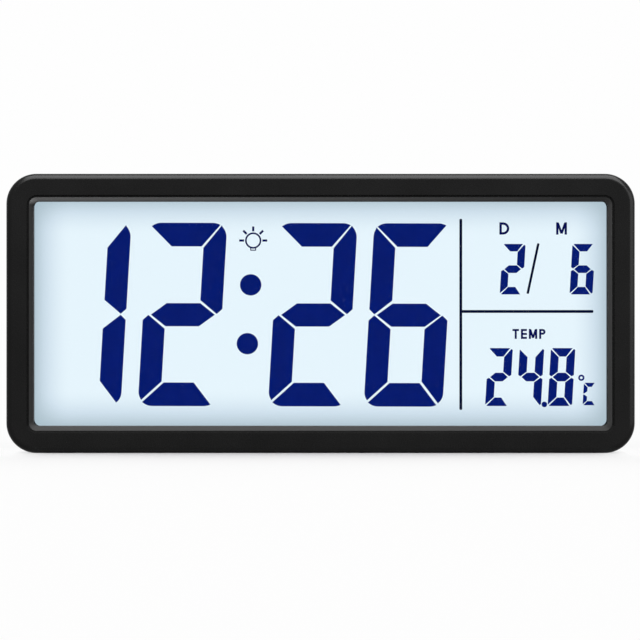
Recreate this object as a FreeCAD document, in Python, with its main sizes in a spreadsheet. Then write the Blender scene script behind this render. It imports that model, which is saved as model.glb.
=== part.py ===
import FreeCAD, Part
import math
import os
import Sketcher

# A wide desk and wall clock with a large liquid crystal display. +X is to the viewer's right, +Z is up, the
# front faces -Y, and the origin lies on the supporting surface under the middle of the case. Millimetres.

document = FreeCAD.newDocument("day_clock")
sheet = document.addObject("Spreadsheet::Sheet", "sizes")

driving_sizes = {
    # case
    "case_width": 230.0,
    "case_height": 102.2,
    "case_depth": 27.0,
    "case_corner": 11.0,
    "case_wall": 2.2,
    "front_edge_round": 2.1,
    "rear_edge_round": 2.4,
    "seam_groove": 0.4,
    "tongue_height": 1.5,
    "tongue_thick": 1.0,
    "seam_clearance": 0.1,
    # window in the front
    "window_margin": 10.1,
    "window_corner": 2.45,
    "lip_width": 1.87,
    "lip_depth": 1.3,
    "lip_corner": 2.75,
    "bezel_plate": 2.6,
    # display stack, front to back
    "tape_thick": 0.2,
    "lens_overlap": 1.3,
    "lens_thick": 1.5,
    "lens_gap": 0.2,
    "polariser_thick": 0.2,
    "glass_overlap": 0.3,
    "glass_thick": 1.1,
    "glass_ledge": 1.0,
    "cell_gap": 0.1,
    "seal_width": 0.7,
    "diffuser_thick": 0.3,
    "guide_thick": 2.0,
    "reflector_thick": 0.2,
    "carrier_back": 1.2,
    "carrier_rim": 0.8,
    "carrier_clearance": 0.1,
    # backlight
    "led_board_thick": 0.6,
    "led_board_length": 74.0,
    "led_depth": 1.0,
    "led_height": 1.2,
    "led_length": 3.0,
    "led_pitch": 9.0,
    "led_gap": 0.1,
    # large time digits, placed from the window's left edge and middle
    "time_height": 66.78,
    "time_width": 28.52,
    "time_stroke": 8.24,
    "time_gap": 1.06,
    "time_corner": 5.0,
    "time_drop": 0.6,
    "hour_tens_left": 4.88,
    "hour_ones_left": 40.03,
    "minute_tens_left": 87.77,
    "minute_ones_left": 122.81,
    "colon_radius": 3.83,
    "colon_upper_left": 79.28,
    "colon_upper_rise": 10.5,
    "colon_lower_left": 78.07,
    "colon_lower_rise": -11.06,
    # smaller digits, placed from the window's right edge and middle
    "date_height": 18.3,
    "date_width": 8.2,
    "date_stroke": 2.53,
    "date_gap": 0.4,
    "date_corner": 0.54,
    "date_rise": 16.18,
    "month_right": 38.66,
    "day_right": 13.07,
    "slash_right": 27.1,
    "slash_lean": 3.95,
    "slash_height": 18.56,
    "slash_rise": 16.41,
    "temperature_height": 21.02,
    "temperature_width": 8.82,
    "temperature_stroke": 2.89,
    "temperature_gap": 0.44,
    "temperature_corner": 0.59,
    "temperature_drop": 23.33,
    "tens_right": 43.97,
    "ones_right": 32.47,
    "tenths_right": 21.05,
    "point_radius": 0.88,
    "point_right": 22.92,
    "point_drop": 33.36,
    "degree_radius": 1.0,
    "degree_stroke": 0.33,
    "degree_right": 9.37,
    "degree_drop": 23.59,
    "unit_height": 8.02,
    "unit_width": 4.0,
    "unit_stroke": 1.3,
    "unit_gap": 0.35,
    "unit_corner": 0.3,
    "unit_right": 8.6,
    "unit_drop": 29.54,
    # rules between the time, the date and the temperature
    "rule_width": 0.75,
    "rule_right": 53.52,
    "rule_low": 35.23,
    "rule_high": 34.48,
    "rule_end_right": 5.05,
    "rule_rise": 0.69,
    # shape shared by all digits
    "digit_slant": 0.0575,
    "mitre_left_degrees": 44.5,
    "mitre_right_degrees": 51.5,
    "waist_degrees": 38.2,
    "waist_inset": 0.27,
    # screws
    "case_screw_inset": 5.8,
    "case_screw_end": 14.0,
    "case_screw_radius": 1.25,
    "case_screw_head": 2.4,
    "case_screw_head_thick": 1.8,
    "case_screw_reach": 6.0,
    "case_boss_radius": 2.7,
    "case_tube_radius": 3.2,
    "counterbore_radius": 2.8,
    "counterbore_depth": 8.0,
    "carrier_screw_pitch": 70.0,
    "carrier_screw_inset": 5.3,
    "carrier_screw_radius": 0.95,
    "carrier_screw_head": 1.8,
    "carrier_boss_radius": 2.3,
    "small_head_thick": 1.1,
    "screw_clearance": 0.15,
    # leg
    "leg_width": 47.2,
    "leg_thick": 3.8,
    "leg_sink": 0.4,
    "leg_axis_height": 68.4,
    "leg_foot_height": 3.2,
    "leg_side_gap": 0.4,
    "leg_skin": 1.6,
    "leg_rim": 2.0,
    "leg_rib": 1.4,
    "leg_rib_pitch": 14.4,
    "leg_corner": 0.6,
    "recess_floor": 1.6,
    "recess_wall": 1.8,
    "hinge_pin_radius": 1.0,
    "pin_clearance": 0.05,
    "foot_pad_thick": 1.2,
    "foot_pad_width": 34.0,
    "finger_notch_width": 12.0,
    "finger_notch_height": 18.0,
    "finger_notch_base": 7.0,
    "finger_notch_corner": 1.6,
    # battery bay and door
    "cell_radius": 5.25,
    "cell_length": 44.5,
    "cell_nub_radius": 1.9,
    "cell_nub_length": 0.8,
    "cell_pitch": 11.3,
    "bay_centre_across": 65.0,
    "bay_centre_height": 51.0,
    "bay_length": 51.0,
    "bay_wall": 1.5,
    "bay_rib_thick": 0.5,
    "bay_rib_height": 3.0,
    "contact_thick": 0.4,
    "contact_width": 8.0,
    "spring_radius": 3.2,
    "spring_wire": 0.35,
    "spring_turns": 2.5,
    "door_thick": 1.8,
    "door_ledge": 1.8,
    "door_clearance": 0.3,
    "door_corner": 0.5,
    "door_rebate_corner": 0.35,
    "door_pin_radius": 0.6,
    "door_pin_length": 1.3,
    "latch_width": 12.0,
    "latch_depth": 5.0,
    "nail_notch_height": 2.2,
    # main board and keys
    "board_left": -99.0,
    "board_width": 62.0,
    "board_base": 46.0,
    "board_height": 36.0,
    "board_thick": 1.6,
    "board_post_inset": 2.5,
    "board_post_radius": 2.4,
    "board_screw_radius": 0.95,
    "key_first": -92.0,
    "key_pitch": 12.0,
    "key_row_height": 72.0,
    "key_width": 8.6,
    "key_height": 5.4,
    "key_corner": 1.5,
    "key_clearance": 0.2,
    "key_sink": 0.2,
    "key_flange": 1.0,
    "key_flange_thick": 1.0,
    "key_post_length": 0.6,
    "key_panel_depth": 1.0,
    "key_panel_margin": 2.6,
    "key_panel_corner": 2.2,
    "switch_size": 6.0,
    "switch_height": 3.5,
    "stem_radius": 1.7,
    "stem_bore_depth": 1.4,
    "stem_rise": 0.9,
    "stem_seat": 0.6,
    "stem_clearance": 0.08,
    # backlight slide switch
    "slider_across": -78.0,
    "slider_height": 57.0,
    "slider_travel": 4.0,
    "slider_knob": 4.0,
    "slider_knob_height": 3.4,
    "slide_switch_width": 10.0,
    "slide_switch_depth": 4.4,
    "slide_switch_thick": 3.4,
    "lever_width": 2.0,
    "lever_height": 1.4,
    # sounder, sensor and small parts
    "buzzer_across": -52.0,
    "buzzer_height": 57.0,
    "buzzer_radius": 6.0,
    "buzzer_thick": 5.2,
    "buzzer_port": 1.2,
    "sound_slot_pitch": 3.2,
    "sound_slot_length": 6.4,
    "vent_width": 1.6,
    "vent_length": 10.0,
    "vent_pitch": 4.0,
    "vent_first": -96.0,
    "vent_base": 31.0,
    "chip_size": 12.0,
    "chip_thick": 1.4,
    "crystal_radius": 1.0,
    "crystal_length": 6.0,
    "bead_radius": 1.1,
    "sensor_leg": 0.25,
    "sensor_length": 6.0,
    "ribbon_width": 30.0,
    "ribbon_thick": 0.2,
    "ribbon_across": -68.0,
    "ribbon_standoff": 0.8,
    "wire_radius": 0.5,
    # wall keyholes
    "keyhole_spacing": 120.0,
    "keyhole_height": 86.6,
    "keyhole_entry": 4.2,
    "keyhole_slot": 2.1,
    "keyhole_rise": 6.5,
}

for row, (alias, number) in enumerate(driving_sizes.items(), start=1):
    sheet.set(f"A{row}", alias)
    sheet.set(f"B{row}", str(number))
    sheet.setAlias(f"B{row}", alias)
document.recompute()


class Size:
    """A length that carries its number and the spreadsheet expression that gives it."""

    def __init__(self, number, text):
        self.number = number
        self.text = text

    def __add__(self, other):
        other = as_size(other)
        return Size(self.number + other.number, f"({self.text} + {other.text})")

    def __sub__(self, other):
        other = as_size(other)
        return Size(self.number - other.number, f"({self.text} - {other.text})")

    def __mul__(self, other):
        other = as_size(other)
        return Size(self.number * other.number, f"({self.text} * {other.text})")

    def __truediv__(self, other):
        other = as_size(other)
        return Size(self.number / other.number, f"({self.text} / {other.text})")

    def __neg__(self):
        return Size(-self.number, f"(0 - {self.text})")

    __radd__ = __add__
    __rmul__ = __mul__


def as_size(value):
    if isinstance(value, Size):
        return value
    return Size(float(value), f"({float(value)})")


def size(alias):
    return Size(float(sheet.get(alias)), f"sizes.{alias}")


# ---- sketch loops: each function returns one that draws its loop, fully constrained, on a sketch ----

def hold(sketch, edge, point, across, up):
    """Fixes one point of an edge at a distance across and up from the sketch's origin."""
    for kind, distance in (("DistanceX", as_size(across)), ("DistanceY", as_size(up))):
        index = sketch.addConstraint(Sketcher.Constraint(kind, -1, 1, edge, point, distance.number))
        sketch.setExpression(f"Constraints[{index}]", distance.text)


def polygon(*corners):
    def draw(sketch):
        corner_pairs = zip(corners, corners[1:] + corners[:1])
        edges = []
        for start, end in corner_pairs:
            ends = [FreeCAD.Vector(as_size(a).number, as_size(b).number, 0) for a, b in (start, end)]
            edges.append(sketch.addGeometry(Part.LineSegment(*ends)))
        for edge, following, corner in zip(edges, edges[1:] + edges[:1], corners):
            sketch.addConstraint(Sketcher.Constraint("Coincident", edge, 2, following, 1))
            hold(sketch, edge, 1, *corner)
    return draw


def disc(across, up, radius):
    def draw(sketch):
        centre = FreeCAD.Vector(as_size(across).number, as_size(up).number, 0)
        circle = Part.Circle(centre, FreeCAD.Vector(0, 0, 1), as_size(radius).number)
        edge = sketch.addGeometry(circle)
        hold(sketch, edge, 3, across, up)
        bind_radius(sketch, edge, radius)
    return draw


def facets(across, up, radius, sides):
    """A many-sided outline for a small hidden round, with its first flat towards the right."""
    corners = []
    for step in range(sides):
        turn = math.radians(360 * (step + 0.5) / sides)
        corners.append((across + radius * round(math.cos(turn), 6), up + radius * round(math.sin(turn), 6)))
    return polygon(*corners)


def flats(across, up, radius, sides):
    """The same with its flats at the radius, for a round that rests on something."""
    return facets(across, up, radius / round(math.cos(math.pi / sides), 6), sides)


def bevelled(left, right, low, high, corner):
    """A rectangle with its corners cut off straight."""
    left, right, low, high = (as_size(value) for value in (left, right, low, high))
    return polygon((left + corner, low), (right - corner, low), (right, low + corner), (right, high - corner),
                   (right - corner, high), (left + corner, high), (left, high - corner), (left, low + corner))


def bind_radius(sketch, edge, radius):
    radius = as_size(radius)
    index = sketch.addConstraint(Sketcher.Constraint("Radius", edge, radius.number))
    sketch.setExpression(f"Constraints[{index}]", radius.text)


def rectangle(left, right, low, high, corner=None):
    """A rectangle, or with a corner radius one with four tangent arcs."""
    left, right, low, high = (as_size(value) for value in (left, right, low, high))
    if corner is None:
        return polygon((left, low), (right, low), (right, high), (left, high))
    corner = as_size(corner)
    inner = (left + corner, right - corner, low + corner, high - corner)

    def draw(sketch):
        x0, x1, y0, y1 = (value.number for value in (left, right, low, high))
        a0, a1, b0, b1 = (value.number for value in inner)
        runs = (((a0, y0), (a1, y0)), ((x1, b0), (x1, b1)), ((a1, y1), (a0, y1)), ((x0, b1), (x0, b0)))
        turns = ((a1, b0, -90), (a1, b1, 0), (a0, b1, 90), (a0, b0, 180))
        lines = [
            sketch.addGeometry(Part.LineSegment(FreeCAD.Vector(*start, 0), FreeCAD.Vector(*end, 0)))
            for start, end in runs
        ]
        arcs = []
        for across, up, begin in turns:
            circle = Part.Circle(FreeCAD.Vector(across, up, 0), FreeCAD.Vector(0, 0, 1), corner.number)
            arc = Part.ArcOfCircle(circle, math.radians(begin), math.radians(begin + 90))
            arcs.append(sketch.addGeometry(arc))
        for index in range(4):
            following = lines[(index + 1) % 4]
            sketch.addConstraint(Sketcher.Constraint("Tangent", lines[index], 2, arcs[index], 1))
            sketch.addConstraint(Sketcher.Constraint("Tangent", arcs[index], 2, following, 1))
        for index, kind in enumerate(("Horizontal", "Vertical", "Horizontal", "Vertical")):
            sketch.addConstraint(Sketcher.Constraint(kind, lines[index]))
        for arc in arcs[1:]:
            sketch.addConstraint(Sketcher.Constraint("Equal", arcs[0], arc))
        hold(sketch, arcs[3], 3, inner[0], inner[2])
        hold(sketch, arcs[1], 3, inner[1], inner[3])
        bind_radius(sketch, arcs[0], corner)
    return draw


def centred(across, up, width, height, corner=None):
    """A rectangle about a place, or with a corner size one with bevelled corners."""
    sides = (across - width / 2, across + width / 2, up - height / 2, up + height / 2)
    return bevelled(*sides, corner) if corner else rectangle(*sides)


# ---- solids: prisms along one axis, added to or cut from a body ----

axis_planes = {"X": "YZ_Plane", "Y": "XZ_Plane", "Z": "XY_Plane"}
pieces = []


def new_body(name):
    body = document.addObject("PartDesign::Body", name)
    body.Label = name
    pieces.append(body)
    return body


def sketch_on(body, axis, place, loops):
    """A sketch across the given axis at a place along it, holding the loops."""
    plane = next(item for item in body.Origin.OriginFeatures if item.Role == axis_planes[axis])
    sketch = body.newObject("Sketcher::SketchObject", "sketch")
    sketch.AttachmentSupport = (plane, "")
    sketch.MapMode = "FlatFace"
    along_normal = -as_size(place) if axis == "Y" else as_size(place)
    sketch.setExpression("AttachmentOffset.Base.z", along_normal.text)
    for draw in loops:
        draw(sketch)
    return sketch


def add(body, axis, low, high, *loops):
    """Pads the loops from low to high along the axis. The plane across Y faces -Y."""
    sketch = sketch_on(body, axis, high if axis == "Y" else low, loops)
    feature = body.newObject("PartDesign::Pad", "pad")
    feature.Profile = sketch
    feature.setExpression("Length", (as_size(high) - low).text)
    return feature


def cut(body, axis, low, high, *loops):
    """Pockets the loops from low to high along the axis."""
    sketch = sketch_on(body, axis, low if axis == "Y" else high, loops)
    feature = body.newObject("PartDesign::Pocket", "pocket")
    feature.Profile = sketch
    feature.setExpression("Length", (as_size(high) - low).text)
    return feature


def dress(body, kind, radius, wanted):
    """Rounds or bevels the edges of the body so far for which wanted(edge) holds."""
    document.recompute()
    base = body.Tip
    names = [f"Edge{number}" for number, edge in enumerate(base.Shape.Edges, start=1) if wanted(edge)]
    feature = body.newObject(f"PartDesign::{kind}", kind.lower())
    feature.Base = (base, names)
    feature.setExpression("Radius" if kind == "Fillet" else "Size", as_size(radius).text)
    return feature


def edge_lies_at(axis, place):
    """A test for edges that lie wholly at one place along an axis."""
    low, high = f"{axis}Min", f"{axis}Max"
    return lambda edge: max(abs(getattr(edge.BoundBox, low) - place.number),
                            abs(getattr(edge.BoundBox, high) - place.number)) < 0.001


def made_piece(name, shape):
    """A piece whose shape comes straight from Part's own functions."""
    piece = document.addObject("Part::Feature", name)
    piece.Label = name
    piece.Shape = shape
    piece.Placement = FreeCAD.Placement()
    pieces.append(piece)
    return piece


# ---- levels that several pieces share ----

half_width = size("case_width") / 2
case_top = size("case_height")
front = -(size("case_depth") / 2)
rear = size("case_depth") / 2
inner_rear = rear - size("case_wall")

window_right = half_width - size("window_margin")
window_left = -window_right
window_low = size("window_margin")
window_high = case_top - size("window_margin")
window_middle = case_top / 2

plate_back = front + size("bezel_plate")
lens_front = plate_back + size("tape_thick")
lens_back = lens_front + size("lens_thick")
polariser_front = lens_back + size("lens_gap")
glass_front = polariser_front + size("polariser_thick")
cell_front = glass_front + size("glass_thick")
rear_glass_front = cell_front + size("cell_gap")
rear_polariser_front = rear_glass_front + size("glass_thick")
diffuser_front = rear_polariser_front + size("polariser_thick")
guide_front = diffuser_front + size("diffuser_thick")
reflector_front = guide_front + size("guide_thick")
carrier_front = reflector_front + size("reflector_thick")
carrier_back = carrier_front + size("carrier_back")
seam = carrier_back + size("carrier_clearance")

lens_right = window_right + size("lens_overlap")
lens_low = window_low - size("lens_overlap") - size("glass_ledge")
lens_high = window_high + size("lens_overlap")
glass_right = window_right + size("glass_overlap")
glass_low = window_low - size("glass_overlap")
glass_high = window_high + size("glass_overlap")
ledge_low = glass_low - size("glass_ledge")
carrier_inner_right = lens_right - size("carrier_rim")
carrier_inner_low = lens_low + size("carrier_rim")
carrier_inner_high = lens_high - size("carrier_rim")

board_back = inner_rear - (size("key_flange_thick") + size("key_post_length") + size("stem_rise")
                           + size("switch_height"))
board_front = board_back - size("board_thick")
board_right = size("board_left") + size("board_width")
board_high = size("board_base") + size("board_height")

case_screw_across = half_width - size("case_screw_inset")
case_screw_places = [
    (side * case_screw_across, height)
    for side in (-1, 1)
    for height in (size("case_screw_end"), case_top - size("case_screw_end"))
]
carrier_screw_places = [
    (step * size("carrier_screw_pitch"), height)
    for step in (-1, 0, 1)
    for height in (size("carrier_screw_inset"), case_top - size("carrier_screw_inset"))
]
board_screw_places = [
    (across, height)
    for across in (size("board_left") + size("board_post_inset"), board_right - size("board_post_inset"))
    for height in (size("board_base") + size("board_post_inset"), board_high - size("board_post_inset"))
]


def case_outline(inset=0):
    """The case's rounded outline, drawn in by an inset all round."""
    return rectangle(-half_width + inset, half_width - inset, as_size(inset), case_top - inset,
                     size("case_corner") - inset)


def rounds(places, radius, sides=8):
    """Small hidden rounds, which repeat, drawn with few sides."""
    return [facets(across, up, radius, sides) for across, up in places]


# ---- casing ----

def front_bezel():
    """A moulded shell: rounded front, window with a sloping lip, bosses and a rebate for the rear cover."""
    body = new_body("front_bezel")
    add(body, "Y", front, seam, case_outline())
    dress(body, "Fillet", size("front_edge_round"), edge_lies_at("Y", front))
    cut(body, "Y", plate_back, seam, case_outline(size("case_wall")))
    cut(body, "Y", front, plate_back,
        rectangle(window_left, window_right, window_low, window_high, size("window_corner")))
    lip = size("lip_width")
    outer = sketch_on(body, "Y", front, [
        rectangle(window_left - lip, window_right + lip, window_low - lip, window_high + lip,
                  size("lip_corner"))])
    inner = sketch_on(body, "Y", front + size("lip_depth"), [
        rectangle(window_left, window_right, window_low, window_high, size("window_corner"))])
    slope = body.newObject("PartDesign::SubtractiveLoft", "lip")
    slope.Profile = outer
    slope.Sections = [inner]
    slope.Ruled = True
    rebate = size("case_wall") - size("tongue_thick") - size("seam_clearance")
    cut(body, "Y", seam - size("tongue_height") - size("seam_clearance"), seam,
        case_outline(rebate), case_outline(size("case_wall")))
    add(body, "Y", plate_back, seam, *rounds(case_screw_places, size("case_boss_radius"), 12))
    add(body, "Y", plate_back, carrier_front, *rounds(carrier_screw_places, size("carrier_boss_radius"), 12))
    cut(body, "Y", seam - size("case_screw_reach"), seam,
        *rounds(case_screw_places, size("case_screw_radius")))
    cut(body, "Y", plate_back + 1, carrier_front,
        *rounds(carrier_screw_places, size("carrier_screw_radius")))


bay_half_length = size("bay_length") / 2
bay_half_height = size("cell_pitch") * 3 / 2
bay_left = size("bay_centre_across") - bay_half_length
bay_right = size("bay_centre_across") + bay_half_length
bay_low = size("bay_centre_height") - bay_half_height
bay_high = size("bay_centre_height") + bay_half_height
door_seat = rear - size("door_thick") - size("seam_clearance")
cell_axis = door_seat - size("door_clearance") - size("cell_radius")
bay_floor = cell_axis - size("cell_radius")
door_left = bay_left - size("door_ledge")
door_right = bay_right + size("door_ledge")
door_low = bay_low - size("door_ledge")
door_high = bay_high + size("door_ledge")
door_axis_depth = rear - size("door_thick") / 2
door_axis_height = door_high - size("door_clearance") - size("door_thick") / 2

leg_axis_depth = rear - size("leg_sink") - size("leg_thick") / 2
leg_right = size("leg_width") / 2
recess_right = leg_right + size("leg_side_gap")
recess_low = size("leg_foot_height") - size("leg_side_gap")
recess_high = size("leg_axis_height") + size("leg_thick") / 2 + size("leg_side_gap")
recess_depth = rear - size("leg_sink") * 2 - size("leg_thick")

key_places = [(size("key_first") + size("key_pitch") * step, size("key_row_height")) for step in range(5)]
panel_floor = rear - size("key_panel_depth")
sounder_place = (size("buzzer_across"), size("buzzer_height"))
slider_middle = size("slider_across") + size("slider_travel") / 2


def rear_cover():
    """A moulded tub with the leg's recess, the battery bay, keys, vents and two wall keyholes."""
    body = new_body("rear_cover")
    wall = size("case_wall")
    add(body, "Y", seam, rear, case_outline())
    dress(body, "Fillet", size("rear_edge_round"), edge_lies_at("Y", rear))
    cut(body, "Y", seam, inner_rear, case_outline(wall))
    cut(body, "Y", seam, seam + size("seam_groove"), case_outline(), case_outline(size("seam_groove")))
    add(body, "Y", seam - size("tongue_height"), seam + size("seam_groove"),
        case_outline(wall - size("tongue_thick")), case_outline(wall))

    side = size("recess_wall")
    notch_right = recess_right + size("finger_notch_width")
    notch_low = size("finger_notch_base")
    notch_high = notch_low + size("finger_notch_height")
    recess_back = recess_depth - size("recess_floor")
    add(body, "Y", recess_back, inner_rear,
        rectangle(-recess_right - side, recess_right + side, wall, recess_high + side))
    add(body, "Y", recess_back, inner_rear,
        rectangle(recess_right, notch_right + side, notch_low - side, notch_high + side))
    cut(body, "Y", recess_depth, rear,
        bevelled(-recess_right, recess_right, recess_low, recess_high, size("leg_side_gap")))
    cut(body, "Y", recess_depth, rear,
        bevelled(recess_right - size("finger_notch_corner"), notch_right, notch_low, notch_high,
                 size("finger_notch_corner")))
    cut(body, "X", -recess_right - side, recess_right + side,
        disc(leg_axis_depth, size("leg_axis_height"), size("hinge_pin_radius") + size("pin_clearance")))

    shell = size("bay_wall")
    add(body, "Y", bay_floor - shell, inner_rear,
        rectangle(door_left - shell, door_right + shell, door_low - shell, door_high + shell))
    cut(body, "Y", door_seat, rear,
        bevelled(door_left, door_right, door_low, door_high, size("door_rebate_corner")))
    cut(body, "Y", bay_floor, door_seat, rectangle(bay_left, bay_right, bay_low, bay_high))
    cut(body, "X", door_left - size("door_pin_length"), door_right + size("door_pin_length"),
        disc(door_axis_depth, door_axis_height, size("door_pin_radius") + size("pin_clearance")))
    for step in (-0.5, 0.5):
        rib_height = size("bay_centre_height") + size("cell_pitch") * step
        add(body, "Y", bay_floor, bay_floor + size("bay_rib_height"),
            centred(size("bay_centre_across"), rib_height, size("cell_length") - 8, size("bay_rib_thick")))
    latch_reach = door_low - size("nail_notch_height")
    cut(body, "Y", rear - size("door_thick"), rear,
        centred(size("bay_centre_across"), latch_reach + 1.5, size("latch_width"), as_size(5),
                size("door_rebate_corner")))

    last_key = key_places[-1][0]
    reach = size("key_width") / 2 + size("key_panel_margin")
    lift = size("key_height") / 2 + size("key_panel_margin")
    cut(body, "Y", panel_floor, rear,
        bevelled(size("key_first") - reach, last_key + reach, size("key_row_height") - lift,
                 size("key_row_height") + lift, size("key_panel_corner")))
    cut(body, "Y", inner_rear, panel_floor, *[
        centred(across, up, size("key_width") + size("key_clearance") * 2,
                size("key_height") + size("key_clearance") * 2, size("key_corner"))
        for across, up in key_places])
    slot_length = size("slider_knob") + size("slider_travel") + size("key_clearance") * 2
    slot_height = size("slider_knob_height") + size("key_clearance") * 2
    cut(body, "Y", panel_floor, rear,
        centred(slider_middle, size("slider_height"), slot_length + size("key_panel_margin") * 2,
                slot_height + size("key_panel_margin"), size("key_corner")))
    cut(body, "Y", inner_rear, panel_floor,
        centred(slider_middle, size("slider_height"), slot_length, slot_height))

    cut(body, "Y", inner_rear, rear, *[
        centred(sounder_place[0] + size("sound_slot_pitch") * step, sounder_place[1],
                size("vent_width"), size("sound_slot_length")) for step in (-1, 0, 1)])
    cut(body, "Y", inner_rear, rear, *[
        centred(size("vent_first") + size("vent_pitch") * step,
                size("vent_base") + size("vent_length") / 2, size("vent_width"), size("vent_length"))
        for step in range(7)])

    for sign in (-1, 1):
        keyhole_across = size("keyhole_spacing") / 2 * sign
        cut(body, "Y", inner_rear, rear,
            disc(keyhole_across, size("keyhole_height"), size("keyhole_entry")))
        cut(body, "Y", inner_rear, rear,
            rectangle(keyhole_across - size("keyhole_slot"), keyhole_across + size("keyhole_slot"),
                      size("keyhole_height"),
                      size("keyhole_height") + size("keyhole_rise") + size("keyhole_slot"),
                      size("keyhole_slot") * 0.98))

    add(body, "Y", seam, inner_rear, *rounds(case_screw_places, size("case_tube_radius"), 12))
    cut(body, "Y", rear - size("counterbore_depth"), rear,
        *rounds(case_screw_places, size("counterbore_radius"), 16))
    cut(body, "Y", seam, rear - size("counterbore_depth"),
        *rounds(case_screw_places, size("case_screw_radius") + size("screw_clearance")))
    add(body, "Y", board_back, inner_rear, *rounds(board_screw_places, size("board_post_radius"), 12))
    cut(body, "Y", board_back, inner_rear - 1, *rounds(board_screw_places, size("board_screw_radius")))


def screws(name, places, head_front, head_radius, head_thick, tip, radius, towards_rear):
    """Pan-head screws along Y: the head spans head_thick from head_front, the shank runs on to the tip."""
    body = new_body(name)
    head_back = head_front + head_thick
    add(body, "Y", head_front, head_back, *rounds(places, head_radius))
    if towards_rear:
        add(body, "Y", head_back, tip, *rounds(places, radius))
    else:
        add(body, "Y", tip, head_front, *rounds(places, radius))


def fasteners():
    screws("case_screws", case_screw_places, rear - size("counterbore_depth"), size("case_screw_head"),
           size("case_screw_head_thick"), seam - size("case_screw_reach") + 0.5, size("case_screw_radius"),
           False)
    screws("carrier_screws", carrier_screw_places, carrier_back, size("carrier_screw_head"),
           size("small_head_thick"), plate_back + 1.5, size("carrier_screw_radius"), False)
    screws("board_screws", board_screw_places, board_front - size("small_head_thick"),
           size("carrier_screw_head"), size("small_head_thick"), inner_rear - 1.5,
           size("board_screw_radius"), True)


# ---- display ----

def sheet_piece(name, low, high, right, bottom, top):
    body = new_body(name)
    add(body, "Y", low, high, rectangle(-right, right, bottom, top))


def ring_piece(name, low, high, outer, inner):
    body = new_body(name)
    add(body, "Y", low, high, outer, inner)


def display_stack():
    gap = size("carrier_clearance")
    ring_piece("lens_tape", plate_back, lens_front,
               rectangle(-lens_right, lens_right, lens_low, lens_high),
               rectangle(window_left - gap, window_right + gap, window_low - gap, window_high + gap))
    sheet_piece("window_lens", lens_front, lens_back, lens_right, lens_low, lens_high)
    sheet_piece("front_polariser", polariser_front, glass_front, glass_right, glass_low, glass_high)
    sheet_piece("front_glass", glass_front, cell_front, glass_right, ledge_low, glass_high)
    seal = size("seal_width")
    ring_piece("cell_seal", cell_front, rear_glass_front,
               rectangle(-glass_right, glass_right, glass_low, glass_high),
               rectangle(seal - glass_right, glass_right - seal, glass_low + seal, glass_high - seal))
    sheet_piece("rear_glass", rear_glass_front, rear_polariser_front, glass_right, glass_low, glass_high)
    sheet_piece("rear_polariser", rear_polariser_front, diffuser_front, glass_right, glass_low, glass_high)
    sheet_piece("diffuser_sheet", diffuser_front, guide_front, glass_right, glass_low, glass_high)
    sheet_piece("light_guide", guide_front, reflector_front, guide_right, glass_low, glass_high)
    sheet_piece("reflector_sheet", reflector_front, carrier_front, guide_right, glass_low, glass_high)


guide_right = glass_right - size("led_board_thick") - size("led_depth") - size("led_gap")
led_rows = [window_middle + size("led_pitch") * (step - 3.5) for step in range(8)]


def backlight():
    boards = new_body("backlight_boards")
    half_board = size("led_board_length") / 2
    board_inner = glass_right - size("led_board_thick")
    low, high = window_middle - half_board, window_middle + half_board
    add(boards, "Y", guide_front, reflector_front,
        rectangle(-glass_right, -board_inner, low, high), rectangle(board_inner, glass_right, low, high))
    leds = new_body("backlight_leds")
    middle = guide_front + size("guide_thick") / 2
    half_led = size("led_length") / 2
    face = board_inner - size("led_depth")
    add(leds, "Y", middle - size("led_height") / 2, middle + size("led_height") / 2, *[
        rectangle(*span, row - half_led, row + half_led)
        for span in ((-board_inner, -face), (face, board_inner))
        for row in led_rows])


def display_carrier():
    """A tray behind the glass, held by six ears. Its rim presses the lens on the tape."""
    body = new_body("display_carrier")
    add(body, "Y", lens_back, carrier_back, rectangle(-lens_right, lens_right, lens_low, lens_high))
    cut(body, "Y", lens_back, carrier_front,
        rectangle(-carrier_inner_right, carrier_inner_right, carrier_inner_low, carrier_inner_high))
    reach = size("carrier_boss_radius")
    for across, up in carrier_screw_places:
        at_top = up.number > window_middle.number
        ear_low = lens_high - 2 if at_top else up - reach
        ear_high = up + reach if at_top else lens_low + 2
        add(body, "Y", carrier_front, carrier_back,
            rectangle(across - reach, across + reach, ear_low, ear_high))
    cut(body, "Y", carrier_front, carrier_back,
        *rounds(carrier_screw_places, size("carrier_screw_radius") + size("screw_clearance")))
    slot_half = size("ribbon_width") / 2 + 1
    cut(body, "Y", carrier_front, carrier_back,
        rectangle(size("ribbon_across") - slot_half, size("ribbon_across") + slot_half,
                  carrier_inner_low, glass_low))
    cut(body, "Y", carrier_front, carrier_back,
        *rounds([((glass_right - size("wire_radius") * 2) * side, led_rows[3] + size("led_pitch") / 2)
                 for side in (-1, 1)], size("wire_radius") + size("screw_clearance")))


def shear(point, left, middle):
    """A digit's upright point (along, up from its middle) leaned over and put in its place."""
    along, up = point
    return FreeCAD.Vector(left + along + size("digit_slant").number * up, 0, middle + up)


def crossing(first, second):
    """The point where two lines meet, each given as a point and a direction."""
    (x1, y1), (dx1, dy1) = first
    (x2, y2), (dx2, dy2) = second
    scale = ((x2 - x1) * dy2 - (y2 - y1) * dx2) / (dx1 * dy2 - dy1 * dx2)
    return (x1 + scale * dx1, y1 + scale * dy1)


def leaning(point, degrees, offset):
    """A line through a point at an angle from +along, moved sideways to its left by the offset."""
    turn = math.radians(degrees)
    direction = (math.cos(turn), math.sin(turn))
    moved = (point[0] - direction[1] * offset, point[1] + direction[0] * offset)
    return moved, direction


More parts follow.
